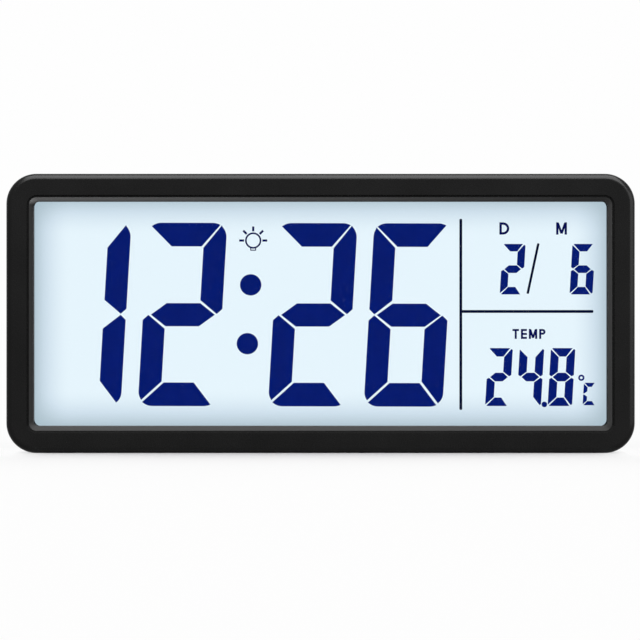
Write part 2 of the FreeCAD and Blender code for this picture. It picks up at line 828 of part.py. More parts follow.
def segment_cells(width, height, stroke, gap):
    """The seven cells of a digit as upright polygons, overrunning the outline on the outside."""
    half, top, slit = stroke / 2, height / 2, gap / 2
    mitre_left = size("mitre_left_degrees").number
    mitre_right = size("mitre_right_degrees").number
    waist = size("waist_degrees").number
    inset = size("waist_inset").number * stroke
    along, upright = (1, 0), (0, 1)

    def side_cell(mitre):
        """The upper left upright, whose corner is mitred at the given angle."""
        corner = leaning((stroke, top - stroke), 180 - mitre, slit)
        foot = leaning((inset, 0), waist, slit)
        floor = ((0, slit), along)
        inner = ((stroke, 0), upright)
        outer = ((-stroke, 0), upright)
        return [crossing(inner, corner), crossing(outer, corner), crossing(outer, floor),
                crossing(floor, foot), crossing(foot, inner)]

    def turned(points):
        return [(width - x, y) for x, y in points]

    def dropped(points):
        return [(x, -y) for x, y in points]

    left_mitre = leaning((stroke, top - stroke), 180 - mitre_left, -slit)
    right_mitre = leaning((width - stroke, top - stroke), mitre_right, slit)
    under = ((0, top - stroke), along)
    over = ((0, top + stroke), along)
    top_cell = [crossing(line, mitre) for line, mitre in
                ((under, left_mitre), (under, right_mitre), (over, right_mitre), (over, left_mitre))]
    shoulder = leaning((inset, 0), waist, -slit)
    level = ((0, half), along)
    tip = crossing(shoulder, ((0, 0), along))
    bar_corner = crossing(shoulder, level)
    bar = [tip, bar_corner]
    bar += [(width - bar_corner[0], bar_corner[1]), (width - tip[0], 0)]
    bar += [(width - bar_corner[0], -bar_corner[1]), (bar_corner[0], -bar_corner[1])]
    left_cell, right_cell = side_cell(mitre_left), turned(side_cell(mitre_right))
    return {"a": top_cell, "b": right_cell, "c": dropped(right_cell), "d": dropped(top_cell),
            "e": dropped(left_cell), "f": left_cell, "g": bar}


lit_segments = {"1": "bc", "2": "abged", "4": "fgbc", "6": "afgedc", "8": "abcdefg", "C": "afed"}


def digit(character, family, left, middle):
    """The lit segments of one seven-segment character, each a separate solid in the cell gap.

    The outer corners are rounded on the large time digits and bevelled on the small ones.
    """
    width, height, stroke, gap, corner = (
        size(f"{family}_{part}").number for part in ("width", "height", "stroke", "gap", "corner"))
    place = (left.number, middle.number)
    thick = FreeCAD.Vector(0, size("cell_gap").number, 0)
    lift = FreeCAD.Vector(0, cell_front.number, 0)

    def prism(points):
        corners = [shear(point, *place) + lift for point in points]
        return Part.Face(Part.makePolygon(corners + corners[:1])).extrude(thick)

    top = height / 2
    outline = prism([(0, -top), (width, -top), (width, top), (0, top)])
    upright_edges = [edge for edge in outline.Edges if abs(edge.BoundBox.YLength - thick.y) < 1e-6]
    turn_corner = outline.makeFillet if family == "time" else outline.makeChamfer
    outline = turn_corner(corner, upright_edges)
    cells = segment_cells(width, height, stroke, gap)
    return [outline.common(prism(cells[letter])).Solids[0] for letter in lit_segments[character]]


def upright_prism(corners):
    """A prism through the cell gap on an outline given as (across, up) numbers."""
    points = [FreeCAD.Vector(across, cell_front.number, up) for across, up in corners]
    return Part.Face(Part.makePolygon(points + points[:1])).extrude(
        FreeCAD.Vector(0, size("cell_gap").number, 0))


def small_spot(radius, across, up):
    """A sixteen-sided spot in the cell gap."""
    turns = [math.pi * step / 8 for step in range(16)]
    return upright_prism([(across.number + radius.number * math.cos(turn),
                           up.number + radius.number * math.sin(turn)) for turn in turns])


def stroke_mark(start, end, width):
    """A straight mark in the cell gap, blunted at its ends, whose tips lie on the start and end points."""
    (x0, z0), (x1, z1) = ((across.number, up.number) for across, up in (start, end))
    length = math.hypot(x1 - x0, z1 - z0)
    along = ((x1 - x0) / length, (z1 - z0) / length)
    half, blunt = width / 2, width / 4
    outline = [(0, -blunt), (blunt, -half), (length - blunt, -half), (length, -blunt),
               (length, blunt), (length - blunt, half), (blunt, half), (0, blunt)]
    return upright_prism([(x0 + along[0] * run - along[1] * side, z0 + along[1] * run + along[0] * side)
                          for run, side in outline])


def display_marks():
    """The lit marks of the display."""
    time_middle = window_middle - size("time_drop")
    time = []
    for character, place in (("1", "hour_tens_left"), ("2", "hour_ones_left"),
                             ("2", "minute_tens_left"), ("6", "minute_ones_left")):
        time += digit(character, "time", window_left + size(place), time_middle)
    for level in ("upper", "lower"):
        across = window_left + size(f"colon_{level}_left")
        up = window_middle + size(f"colon_{level}_rise")
        base = FreeCAD.Vector(across.number, cell_front.number, up.number)
        time.append(Part.makeCylinder(size("colon_radius").number, size("cell_gap").number, base,
                                      FreeCAD.Vector(0, 1, 0)))
    made_piece("time_segments", Part.makeCompound(time))

    date_middle = window_middle + size("date_rise")
    date = []
    for character, place in (("2", "month_right"), ("6", "day_right")):
        date += digit(character, "date", window_right - size(place), date_middle)
    slash_across = window_right - size("slash_right")
    slash_middle = window_middle + size("slash_rise")
    lean, rise = size("slash_lean") / 2, size("slash_height") / 2
    date.append(stroke_mark((slash_across - lean, slash_middle - rise),
                            (slash_across + lean, slash_middle + rise), size("rule_width").number * 0.9))
    made_piece("date_segments", Part.makeCompound(date))

    warm_middle = window_middle - size("temperature_drop")
    warm = []
    for character, place in (("2", "tens_right"), ("4", "ones_right"), ("8", "tenths_right")):
        warm += digit(character, "temperature", window_right - size(place), warm_middle)
    warm += digit("C", "unit", window_right - size("unit_right"), window_middle - size("unit_drop"))
    warm.append(small_spot(size("point_radius"), window_right - size("point_right"),
                           window_middle - size("point_drop")))
    degree_place = (window_right - size("degree_right"), window_middle - size("degree_drop"))
    hole = small_spot(size("degree_radius") - size("degree_stroke"), *degree_place)
    warm.append(small_spot(size("degree_radius"), *degree_place).cut(hole))
    made_piece("temperature_segments", Part.makeCompound(warm))

    rule_across = window_right - size("rule_right")
    rule_level = window_middle + size("rule_rise")
    width = size("rule_width").number
    upright = stroke_mark((rule_across, window_middle - size("rule_low")),
                          (rule_across, window_middle + size("rule_high")), width)
    level_rule = stroke_mark((rule_across, rule_level),
                             (window_right - size("rule_end_right"), rule_level), width)
    made_piece("display_rules", upright.fuse(level_rule).removeSplitter())


def display_ribbon():
    """A flat cable from the glass's ledge, through the carrier and up to the board."""
    body = new_body("display_ribbon")
    thick = size("ribbon_thick")
    glass_end = glass_low - size("carrier_clearance")
    turn_low = ledge_low + size("carrier_clearance")
    run = carrier_back + size("ribbon_standoff")
    crossing_height = size("board_base") + 4
    board_end = size("board_base") + 10
    half = size("ribbon_width") / 2
    add(body, "X", size("ribbon_across") - half, size("ribbon_across") + half, polygon(
        (cell_front, glass_end), (cell_front, turn_low), (run + thick, turn_low),
        (run + thick, crossing_height), (board_front, crossing_height), (board_front, board_end),
        (board_front - thick, board_end), (board_front - thick, crossing_height + thick),
        (run, crossing_height + thick), (run, turn_low + thick), (cell_front + thick, turn_low + thick),
        (cell_front + thick, glass_end)))


# ---- electronics ----

def main_board():
    body = new_body("main_board")
    add(body, "Y", board_front, board_back,
        rectangle(size("board_left"), board_right, size("board_base"), board_high))
    cut(body, "Y", board_front, board_back,
        *rounds(board_screw_places, size("board_screw_radius") + size("screw_clearance")))


def board_parts():
    chip = new_body("controller_chip")
    add(chip, "Y", board_front - size("chip_thick"), board_front,
        centred(sounder_place[0], size("key_row_height") - 3, size("chip_size"), size("chip_size")))

    crystal = new_body("clock_crystal")
    crystal_left = sounder_place[0] - size("crystal_length") / 2
    add(crystal, "X", crystal_left, crystal_left + size("crystal_length"),
        flats(board_front - size("crystal_radius"), size("slider_height"), size("crystal_radius"), 12))

    buzzer = new_body("buzzer")
    add(buzzer, "Y", board_back, board_back + size("buzzer_thick"),
        facets(*sounder_place, size("buzzer_radius"), 24))
    cut(buzzer, "Y", board_back + size("buzzer_thick") - 1, board_back + size("buzzer_thick"),
        facets(*sounder_place, size("buzzer_port"), 8))

    sensor = new_body("temperature_sensor")
    bead_height = size("board_base") - size("sensor_length")
    bead_depth = board_back + size("bead_radius")
    bead_across = size("vent_first") + size("vent_pitch") * 3
    leg = size("sensor_leg")
    for side in (-1, 1):
        place = bead_across + size("bead_radius") * 0.5 * side
        add(sensor, "Z", bead_height, size("board_base") + 2,
            rectangle(place - leg, place + leg, board_back, board_back + leg * 2))
    add(sensor, "Z", bead_height - size("bead_radius"), bead_height + size("bead_radius"),
        flats(bead_across, bead_depth, size("bead_radius"), 12))


def key_parts():
    switches = new_body("key_switches")
    add(switches, "Y", board_back, board_back + size("switch_height"), *[
        centred(across, up, size("switch_size"), size("switch_size")) for across, up in key_places])
    switch_top = board_back + size("switch_height")
    cut(switches, "Y", switch_top - size("stem_bore_depth"), switch_top,
        *rounds(key_places, size("stem_radius") + size("stem_clearance")))
    for name, place in zip(("light", "mode", "set", "up", "down"), key_places):
        stem = new_body(f"{name}_switch_stem")
        add(stem, "Y", switch_top - size("stem_seat"), switch_top + size("stem_rise"),
            facets(*place, size("stem_radius"), 8))
        key = new_body(f"{name}_key")
        flange = size("key_flange") * 2
        flange_front = inner_rear - size("key_flange_thick")
        add(key, "Y", inner_rear, rear - size("key_sink"),
            centred(*place, size("key_width"), size("key_height"), size("key_corner")))
        dress(key, "Chamfer", size("key_panel_depth") * 0.4, edge_lies_at("Y", rear - size("key_sink")))
        add(key, "Y", flange_front, inner_rear,
            centred(*place, size("key_width") + flange, size("key_height") + flange))
        add(key, "Y", flange_front - size("key_post_length"), flange_front,
            facets(*place, size("stem_radius"), 8))


def slide_switch():
    place = (slider_middle, size("slider_height"))
    body = new_body("slide_switch_body")
    top = board_back + size("slide_switch_thick")
    add(body, "Y", board_back, top, centred(*place, size("slide_switch_width"), size("slide_switch_depth")))
    home = (size("slider_across"), size("slider_height"))
    lever = new_body("slide_switch_lever")
    flange_front = inner_rear - size("key_flange_thick")
    add(lever, "Y", top + size("seam_clearance"), flange_front,
        centred(*home, size("lever_width"), size("lever_height")))
    slider = new_body("backlight_slider")
    cover = size("slider_travel") + size("slider_knob") + size("key_flange")
    add(slider, "Y", inner_rear, rear - size("key_sink"),
        centred(*home, size("slider_knob"), size("slider_knob_height")))
    dress(slider, "Chamfer", size("key_panel_depth") * 0.4, edge_lies_at("Y", rear - size("key_sink")))
    add(slider, "Y", flange_front, inner_rear,
        centred(*home, cover, size("slider_knob_height") + size("key_flange") * 2))


# ---- batteries ----

cell_rows = [size("bay_centre_height") + size("cell_pitch") * (1 - step) for step in range(3)]


def battery_cells():
    """Three cells side by side, the middle one turned end for end."""
    contact = size("contact_thick")
    tip = size("cell_nub_length")
    for number, row in enumerate(cell_rows, start=1):
        body = new_body(f"battery_cell_{number}")
        plus_at_left = number != 2
        shoulder = bay_left + contact + tip if plus_at_left else bay_right - contact - tip
        sign = 1 if plus_at_left else -1
        far_end = shoulder + (size("cell_length") - tip) * sign
        low, high = (shoulder, far_end) if plus_at_left else (far_end, shoulder)
        add(body, "X", low, high, flats(cell_axis, row, size("cell_radius"), 24))
        nub = (shoulder - tip, shoulder) if plus_at_left else (shoulder, shoulder + tip)
        add(body, "X", *nub, facets(cell_axis, row, size("cell_nub_radius"), 12))


def battery_contacts():
    plates = new_body("battery_contacts")
    half = size("contact_width") / 2
    thick = size("contact_thick")
    base = cell_axis - half
    for low, high in ((bay_left, bay_left + thick), (bay_right - thick, bay_right)):
        add(plates, "X", low, high, *[
            rectangle(base, base + half * 2, row - half, row + half) for row in cell_rows])

    slack = size("bay_length") - thick * 2 - size("cell_length")
    springs = []
    for number, row in enumerate(cell_rows, start=1):
        at_left = number == 2
        start = bay_left + thick if at_left else bay_right - thick - slack
        springs.append(coil(start.number, slack.number, cell_axis.number, row.number))
    made_piece("battery_springs", Part.makeCompound(springs))


def coil(start, length, depth, height):
    """An eight-sided coil of square wire that fills the length along X from the start."""
    half, radius = size("spring_wire").number, size("spring_radius").number
    steps = round(8 * size("spring_turns").number)
    rings = []
    for step in range(steps + 1):
        turn = math.radians(45 * step)
        middle = start + half + (length - 2 * half) * step / steps
        rings.append([
            FreeCAD.Vector(middle + along, depth + reach * math.cos(turn), height + reach * math.sin(turn))
            for along, reach in ((-half, radius - half), (half, radius - half),
                                 (half, radius + half), (-half, radius + half))])
    faces = [Part.Face(Part.makePolygon(ring + ring[:1])) for ring in (rings[0], rings[-1])]
    for ring, following in zip(rings, rings[1:]):
        for side in range(4):
            other = (side + 1) % 4
            for corners in ((ring[side], ring[other], following[side]),
                            (ring[other], following[other], following[side])):
                faces.append(Part.Face(Part.makePolygon([*corners, corners[0]])))
    solid = Part.Solid(Part.Shell(faces))
    if solid.Volume < 0:
        solid.reverse()
    return solid


def battery_door():
    """The door turns on two stub pins in its full-round upper edge. A tongue below it latches."""
    body = new_body("battery_door")
    gap = size("door_clearance")
    left, right = door_left + gap, door_right - gap
    low = door_low + gap
    half = size("door_thick") / 2
    add(body, "Y", rear - size("door_thick"), rear,
        bevelled(left, right, low, door_axis_height, size("door_corner")))
    add(body, "X", left, right, disc(door_axis_depth, door_axis_height, half))
    reach = size("door_pin_length") - size("seam_clearance")
    add(body, "X", door_left - reach, door_right + reach,
        disc(door_axis_depth, door_axis_height, size("door_pin_radius")))
    slot_half = size("latch_width") / 2 - 1
    slit = size("bay_rib_thick")
    tongue_top = low + size("latch_depth")
    middle = size("bay_centre_across")
    cut(body, "Y", rear - size("door_thick"), rear, *[
        rectangle(middle + edge - slit, middle + edge + slit, low + 1, tongue_top)
        for edge in (-slot_half, slot_half)])
    cut(body, "Y", rear - half * 0.6, rear, *[
        centred(middle, tongue_top + 3 + 2 * step, size("latch_width"), as_size(0.8)) for step in range(4)])


# ---- leg ----

def stand_leg():
    """A flat leg with a full-round top on its pin, hollowed and ribbed on the inside."""
    body = new_body("stand_leg")
    outer = rear - size("leg_sink")
    inner = outer - size("leg_thick")
    foot = size("leg_foot_height") + size("foot_pad_thick")
    axis_height = size("leg_axis_height")
    add(body, "Y", inner, outer, bevelled(-leg_right, leg_right, foot, axis_height, size("leg_corner")))
    add(body, "X", -leg_right, leg_right, disc(leg_axis_depth, axis_height, size("leg_thick") / 2))
    rim = size("leg_rim")
    hollow_low, hollow_high = foot + rim, axis_height - size("leg_thick")
    cell = size("leg_rib_pitch") / 2 - size("leg_rib") / 2
    cut(body, "Y", inner, outer - size("leg_skin"), *[
        rectangle(size("leg_rib_pitch") * step - cell, size("leg_rib_pitch") * step + cell, hollow_low,
                  hollow_high) for step in (-1, 0, 1)])
    cut(body, "X", -leg_right, leg_right, disc(leg_axis_depth, axis_height, size("hinge_pin_radius")))

    pin = new_body("stand_hinge_pin")
    reach = recess_right + size("recess_wall") - size("seam_clearance")
    add(pin, "X", -reach, reach, disc(leg_axis_depth, axis_height, size("hinge_pin_radius")))

    pad = new_body("stand_foot_pad")
    half = size("foot_pad_width") / 2
    inset = size("leg_side_gap")
    add(pad, "Z", size("leg_foot_height"), foot,
        rectangle(-half, half, inner + inset, outer - inset))


# ---- leads ----

def lead(points, radius):
    """A six-sided lead along straight runs, whose corners are cut off."""
    points = [FreeCAD.Vector(*(as_size(value).number for value in point)) for point in points]
    path = [points[0]]
    for before, corner, after in zip(points, points[1:], points[2:]):
        for run in (before - corner, after - corner):
            path.append(corner + run * (0.2 * min(1, 12 / run.Length)))
    path.append(points[-1])
    direction = (points[1] - points[0]).normalize()
    sideways = direction.cross(FreeCAD.Vector(0, 0, 1)).normalize() * radius
    upward = sideways.cross(direction)
    section = Part.makePolygon([
        points[0] + sideways * math.cos(math.radians(60 * step)) + upward * math.sin(math.radians(60 * step))
        for step in range(7)])
    return Part.makePolygon(path).makePipeShell([section], True, False, 1)


def leads():
    radius = size("wire_radius")
    lane = (carrier_back + bay_floor - size("bay_wall")) / 2
    board_face = board_front + size("board_thick") / 2
    wires = []
    for step in (0, 1):
        height = window_middle + 24 - radius * 4 * step
        row = cell_rows[2 * step] + size("cell_radius") * 0.3
        wires.append(lead([
            (door_left - size("bay_wall"), cell_axis, row),
            (recess_right + 8, cell_axis, row),
            (recess_right + 2, lane + 3, height),
            (-recess_right - 2, lane + 3, height),
            (board_right + 4, board_face, height - 4),
            (board_right, board_face, height - 4)], radius.number))
    made_piece("battery_leads", Part.makeCompound(wires))

    exit_across = glass_right - radius * 2
    height = led_rows[3] + size("led_pitch") / 2
    left = [(-exit_across, reflector_front, height), (-exit_across, lane, height),
            (size("board_left") - 2, board_face, height), (size("board_left"), board_face, height)]
    right = [(exit_across, reflector_front, height), (exit_across, lane, height),
             (as_size(0), lane, height), (board_right + 6, board_face, height),
             (board_right, board_face, height)]
    made_piece("backlight_leads", Part.makeCompound([lead(left, radius.number), lead(right, radius.number)]))


front_bezel()
rear_cover()
fasteners()
display_stack()
backlight()
display_carrier()
display_marks()
display_ribbon()
main_board()
board_parts()
key_parts()
slide_switch()
battery_cells()
battery_contacts()
battery_door()
stand_leg()
leads()
document.recompute()

for item in document.Objects:
    faults = [state for state in item.State if state in ("Invalid", "Error")]
    if faults:
        raise RuntimeError(f"{item.Name} is {faults}")

# every prism has to change the volume of its body
for piece in pieces:
    volume = 0.0
    for feature in getattr(piece, "Group", []):
        if not feature.isDerivedFrom("PartDesign::Feature"):
            continue
        if abs(feature.Shape.Volume - volume) < 0.0001:
            raise RuntimeError(f"{feature.Name} of {piece.Label} changes nothing")
        volume = feature.Shape.Volume
    if piece.Shape.isNull() or not piece.Shape.isValid():
        raise RuntimeError(f"{piece.Label} has no valid shape")

os.makedirs("parts", exist_ok=True)
for piece in pieces:
    piece.Shape.exportStep(f"parts/{piece.Label}.step")
print(len(pieces), "pieces")
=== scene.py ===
import math

import bmesh
import bpy
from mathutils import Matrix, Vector


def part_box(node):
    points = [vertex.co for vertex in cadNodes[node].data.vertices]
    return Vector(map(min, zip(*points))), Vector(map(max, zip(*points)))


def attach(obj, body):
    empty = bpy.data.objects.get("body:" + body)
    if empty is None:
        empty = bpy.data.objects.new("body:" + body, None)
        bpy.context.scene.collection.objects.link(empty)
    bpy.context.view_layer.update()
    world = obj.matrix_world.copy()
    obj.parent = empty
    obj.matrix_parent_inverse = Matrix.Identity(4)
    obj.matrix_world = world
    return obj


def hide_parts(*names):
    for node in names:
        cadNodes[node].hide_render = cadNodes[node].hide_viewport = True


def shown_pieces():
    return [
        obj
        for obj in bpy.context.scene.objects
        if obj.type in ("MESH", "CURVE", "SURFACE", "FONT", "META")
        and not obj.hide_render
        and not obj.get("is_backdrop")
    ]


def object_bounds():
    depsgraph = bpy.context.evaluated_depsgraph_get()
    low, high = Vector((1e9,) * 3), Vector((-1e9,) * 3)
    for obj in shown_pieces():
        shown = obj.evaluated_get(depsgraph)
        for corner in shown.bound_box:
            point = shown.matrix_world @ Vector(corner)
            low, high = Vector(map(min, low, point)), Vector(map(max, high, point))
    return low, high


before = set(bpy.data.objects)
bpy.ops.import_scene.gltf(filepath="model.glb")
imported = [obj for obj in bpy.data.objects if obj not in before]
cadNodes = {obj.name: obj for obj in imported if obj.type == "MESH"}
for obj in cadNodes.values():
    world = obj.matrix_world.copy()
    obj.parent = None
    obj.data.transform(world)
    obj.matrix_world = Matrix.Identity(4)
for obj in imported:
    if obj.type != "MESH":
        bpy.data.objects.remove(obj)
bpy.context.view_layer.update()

mm = 0.001
scene = bpy.context.scene
keyNames = ("light", "mode", "set", "up", "down")
black, white = (0, 0, 0, 1), (1, 1, 1, 1)
finishes = {}  # every material by its name


# small helpers: colours, objects and finished pieces

def tone(*numbers):  # a screen colour of 0 to 255 as the even scale that shaders use
    shares = [number / 255 for number in numbers]
    return (*[share / 12.92 if share <= 0.04045 else ((share + 0.055) / 1.055) ** 2.4 for share in shares], 1)


def grey(value):
    return (value, value, value, 1)


def addObject(name, data):
    item = bpy.data.objects.new(name, data)
    scene.collection.objects.link(item)
    return item


def meshFrom(name, work, *labels):
    mesh = bpy.data.meshes.new(name)
    work.to_mesh(mesh)
    work.free()
    for label in labels:
        mesh.materials.append(finishes[label])
    return mesh


def closedObject(name, work, *labels):
    bmesh.ops.recalc_face_normals(work, faces=work.faces)
    return addObject(name, meshFrom(name, work, *labels))


def smoothShade(mesh, degrees=30):
    mesh.polygons.foreach_set("use_smooth", [True] * len(mesh.polygons))
    mesh.set_sharp_from_angle(angle=math.radians(degrees))


def bakeModifiers(item):  # the evaluated shape becomes the object's plain mesh
    bpy.context.view_layer.update()
    graph = bpy.context.evaluated_depsgraph_get()
    mesh = bpy.data.meshes.new_from_object(item.evaluated_get(graph), depsgraph=graph)
    item.modifiers.clear()
    item.data = mesh
    return item


def finishPiece(item, body, slotName, *nodes):
    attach(item, body)
    if nodes:
        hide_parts(*nodes)


# mesh helpers: sizes in mm, across X, deep along Y and up Z

mergeDistance, flatAngle = 0.002, 0.5  # mm and degrees


def copyNode(node):
    # a solid's mesh, without the edges that cross its flat faces
    work = bmesh.new()
    work.from_mesh(cadNodes[node].data)
    bmesh.ops.remove_doubles(work, verts=work.verts, dist=mergeDistance * mm)
    bmesh.ops.dissolve_limit(work, angle_limit=math.radians(flatAngle), verts=work.verts, edges=work.edges)
    return work


def addRows(work, loops):
    return [[work.verts.new([value * mm for value in point]) for point in loop] for loop in loops]


def joinRows(work, rows, closed=True, paint=None):
    # side faces from each row of corners to the next, and if closed from the last to the first
    for index, row in enumerate(rows if closed else rows[:-1]):
        following = rows[(index + 1) % len(rows)]
        for corner in range(len(row)):
            other = (corner + 1) % len(row)
            face = work.faces.new((row[corner], row[other], following[other], following[corner]))
            face.material_index = paint[index] if paint else 0


def prism(work, loop, *depths):
    rows = addRows(work, [[(across, depth, up) for across, up in loop] for depth in depths])
    work.faces.new(rows[0])
    work.faces.new(reversed(rows[1]))
    for index in range(len(loop)):
        other = (index + 1) % len(loop)
        work.faces.new((rows[0][index], rows[1][index], rows[1][other], rows[0][other]))


def ringPrism(work, outer, inner, front, back):
    sections = ((outer, front), (outer, back), (inner, back), (inner, front))
    joinRows(work, addRows(work, [[(across, depth, up) for across, up in loop] for loop, depth in sections]))


def strokePrism(work, start, end, stroke, *depths):
    start, end = Vector(start), Vector(end)
    side = (end - start).normalized().orthogonal() * stroke / 2
    prism(work, [start - side, end - side, end + side, start + side], *depths)


def boxLoop(left, low, right, high):
    return [(left, low), (right, low), (right, high), (left, high)]


def circleRing(work, centre, radius, stroke, steps, *depths):
    turns = [2 * math.pi * step / steps for step in range(steps)]
    loops = [[(centre[0] + reach * math.cos(turn), centre[1] + reach * math.sin(turn)) for turn in turns]
             for reach in (radius + stroke / 2, radius - stroke / 2)]
    ringPrism(work, *loops, *depths)


def rays(work, centre, turns, start, end, stroke, *depths):
    for turn in turns:
        out = Vector((math.cos(math.radians(turn)), math.sin(math.radians(turn))))
        strokePrism(work, Vector(centre) + out * start, Vector(centre) + out * end, stroke, *depths)


def outlineRing(half, low, high, corner, depth, steps):  # a rectangle with round corners
    ring = []
    for across, up, start in ((half - corner, low + corner, -90), (half - corner, high - corner, 0),
                              (corner - half, high - corner, 90), (corner - half, low + corner, 180)):
        for step in range(steps + 1):
            turn = math.radians(start + 90 * step / steps)
            ring.append((across + corner * math.cos(turn), depth, up + corner * math.sin(turn)))
    return ring


# node helpers, for materials and geometry alike

def addNode(tree, kind, feeds, **settings):
    # feeds: an input's name or number, and its value, another node's output or a list of outputs
    node = tree.nodes.new(kind)
    for label, value in settings.items():
        setattr(node, label, value)
    for label, sources in feeds.items():
        for source in sources if isinstance(sources, list) else [sources]:
            if isinstance(source, bpy.types.NodeSocket):
                tree.links.new(source, node.inputs[label])
            else:
                node.inputs[label].default_value = source
    return node.outputs[0]


def mathNode(tree, operation, *values):
    return addNode(tree, "ShaderNodeMath", dict(enumerate(values)), operation=operation)


def mixNode(tree, share, first, second):
    return addNode(tree, "ShaderNodeMixRGB", {"Fac": share, "Color1": first, "Color2": second})


def noiseNode(tree, place, scale, detail=2, stretch=None):  # scale per metre
    if stretch:
        place = addNode(tree, "ShaderNodeMapping", {"Vector": place, "Scale": stretch})
    return addNode(tree, "ShaderNodeTexNoise", {"Vector": place, "Scale": scale, "Detail": detail})


def rangeNode(tree, source, start, end, low=0, high=1):
    return addNode(tree, "ShaderNodeMapRange", {"Value": source, "From Min": start, "From Max": end,
                                                "To Min": low, "To Max": high})


def rampNode(tree, source, *stops):
    ramp = tree.nodes.new("ShaderNodeValToRGB")
    elements = ramp.color_ramp.elements
    while len(elements) < len(stops):
        elements.new(0.5)
    for element, (position, colour) in zip(elements, stops):
        element.position = position
        element.color = colour
    tree.links.new(source, ramp.inputs["Fac"])
    return ramp.outputs["Color"]


def objectPlace(tree):
    return tree.nodes.new("ShaderNodeTexCoord").outputs["Object"]


def splitPlace(tree, place):
    split = tree.nodes.new("ShaderNodeSeparateXYZ")
    tree.links.new(place, split.inputs["Vector"])
    return split.outputs


# materials: all patterns read Object coordinates, so they keep their real size

noiseSpan = (0.3, 0.7)  # most of a noise lies between these


def startMaterial(name, colour, roughness, **sockets):
    material = bpy.data.materials.new(name)
    finishes[name] = material
    material.use_nodes = True
    tree = material.node_tree
    shader = tree.nodes["Principled BSDF"]
    shader.inputs["Base Color"].default_value = colour
    shader.inputs["Roughness"].default_value = roughness
    for socket, value in sockets.items():
        shader.inputs[socket.replace("_", " ")].default_value = value
    return tree, shader, objectPlace(tree)


def addGrain(tree, shader, source, depth):  # depth in mm
    bump = addNode(tree, "ShaderNodeBump", {"Height": source, "Distance": depth * mm})
    tree.links.new(bump, shader.inputs["Normal"])


def addPattern(tree, shader, broad, fine, dark, light, rough, depth):
    tree.links.new(rampNode(tree, broad, *zip(noiseSpan, (dark, light))), shader.inputs["Base Color"])
    tree.links.new(rangeNode(tree, fine, *noiseSpan, *rough), shader.inputs["Roughness"])
    addGrain(tree, shader, fine, depth)


mouldings = {  # darkest and palest tone, roughness from and to, grain per metre and its depth in mm, shine
    "casePlastic": (grey(0.0012), grey(0.0018), (0.24, 0.29), 2400, 0.005, 0.08),
    "rearPlastic": ((0.007, 0.007, 0.0072, 1), (0.0095, 0.0095, 0.0097, 1), (0.36, 0.48), 1700, 0.014, 0.19),
    "keyPlastic": ((0.008, 0.008, 0.0085, 1), (0.01, 0.01, 0.0105, 1), (0.3, 0.38), 2400, 0.006, 0.3),
    "legendPlastic": ((0.3, 0.3, 0.29, 1), (0.36, 0.36, 0.35, 1), (0.5, 0.6), 2400, 0.01, 0.5),
    "partPlastic": (grey(0.012), grey(0.02), (0.45, 0.6), 2400, 0.01, 0.5),
    "carrierPlastic": (grey(0.006), grey(0.01), (0.5, 0.65), 2400, 0.01, 0.1),
    "padRubber": (grey(0.012), grey(0.02), (0.7, 0.85), 1500, 0.04, 0.5),
    "foamTape": ((0.012, 0.012, 0.013, 1), (0.03, 0.03, 0.032, 1), (0.8, 0.95), 3500, 0.06, 0.5),
    "sealResin": ((0.004, 0.008, 0.01, 1), (0.006, 0.012, 0.014, 1), (0.4, 0.5), 2400, 0.01, 0.05),
    "leadSleeve": ((0.42, 0.016, 0.014, 1), (0.5, 0.025, 0.02, 1), (0.4, 0.55), 2400, 0.01, 0.5),
    "milkyPlastic": ((0.78, 0.85, 0.9, 1), (0.84, 0.9, 0.94, 1), (0.2, 0.3), 1200, 0.02, 0.5),
}


def mouldedMaterial(name, dark, light, rough, grainSize, grainDepth, shine):
    # fine grain over broad, faint changes of tone and gloss
    tree, shader, place = startMaterial(name, dark, rough[0], Specular_IOR_Level=shine)
    broad, fine = noiseNode(tree, place, scale=60, detail=4), noiseNode(tree, place, grainSize)
    addPattern(tree, shader, broad, fine, dark, light, rough, grainDepth)


metals = {  # darkest and palest tone, roughness from and to, and how the brushing is drawn out
    "screwSteel": ((0.42, 0.42, 0.43, 1), grey(0.6), (0.28, 0.42), (1, 6, 1)),
    "contactNickel": ((0.5, 0.49, 0.46, 1), (0.68, 0.67, 0.63, 1), (0.2, 0.34), (1, 1, 8)),
}


def metalMaterial(name, dark, light, rough, stretch):
    tree, shader, place = startMaterial(name, light, rough[0], Metallic=1.0)
    brushed = noiseNode(tree, place, scale=900, detail=4, stretch=stretch)
    addPattern(tree, shader, brushed, brushed, dark, light, rough, depth=0.004)


clearSheets = {  # tone, how much of it shows, and roughness from and to
    "clearLens": ((0.02, 0.022, 0.024, 1), 0.007, (0.03, 0.08)),
    "clearGlass": ((0.02, 0.024, 0.024, 1), 0.004, (0.03, 0.08)),
    "clearFilm": ((0.03, 0.032, 0.03, 1), 0.003, (0.2, 0.3)),
}


def sheetMaterial(name, colour, alpha, rough):
    # nearly see-through, with faint ripples in its gloss
    tree, shader, place = startMaterial(name, colour, rough[0], Alpha=alpha)
    ripple = noiseNode(tree, place, scale=90)
    tree.links.new(rangeNode(tree, ripple, *noiseSpan, *rough), shader.inputs["Roughness"])
    addGrain(tree, shader, ripple, depth=0.0015)
    finishes[name].surface_render_method = "BLENDED"


litPane = {
    "halfWidth": 104.85, "middle": 51.4, "halfHeight": 41.25,  # lit area, mm
    "shadeWidth": 13.0, "shadeCurve": 1.6,  # how far the painted shade of the window's border reaches in, and how it falls off
    "overlap": -0.8, "darkest": 1.25,  # how two borders add up in a corner
    "strength": 1.035,
    "stops": ((0.0, (229, 244, 252)), (0.4, (207, 224, 236)), (0.8, (179, 198, 209)), (1.0, (167, 188, 199))),
}


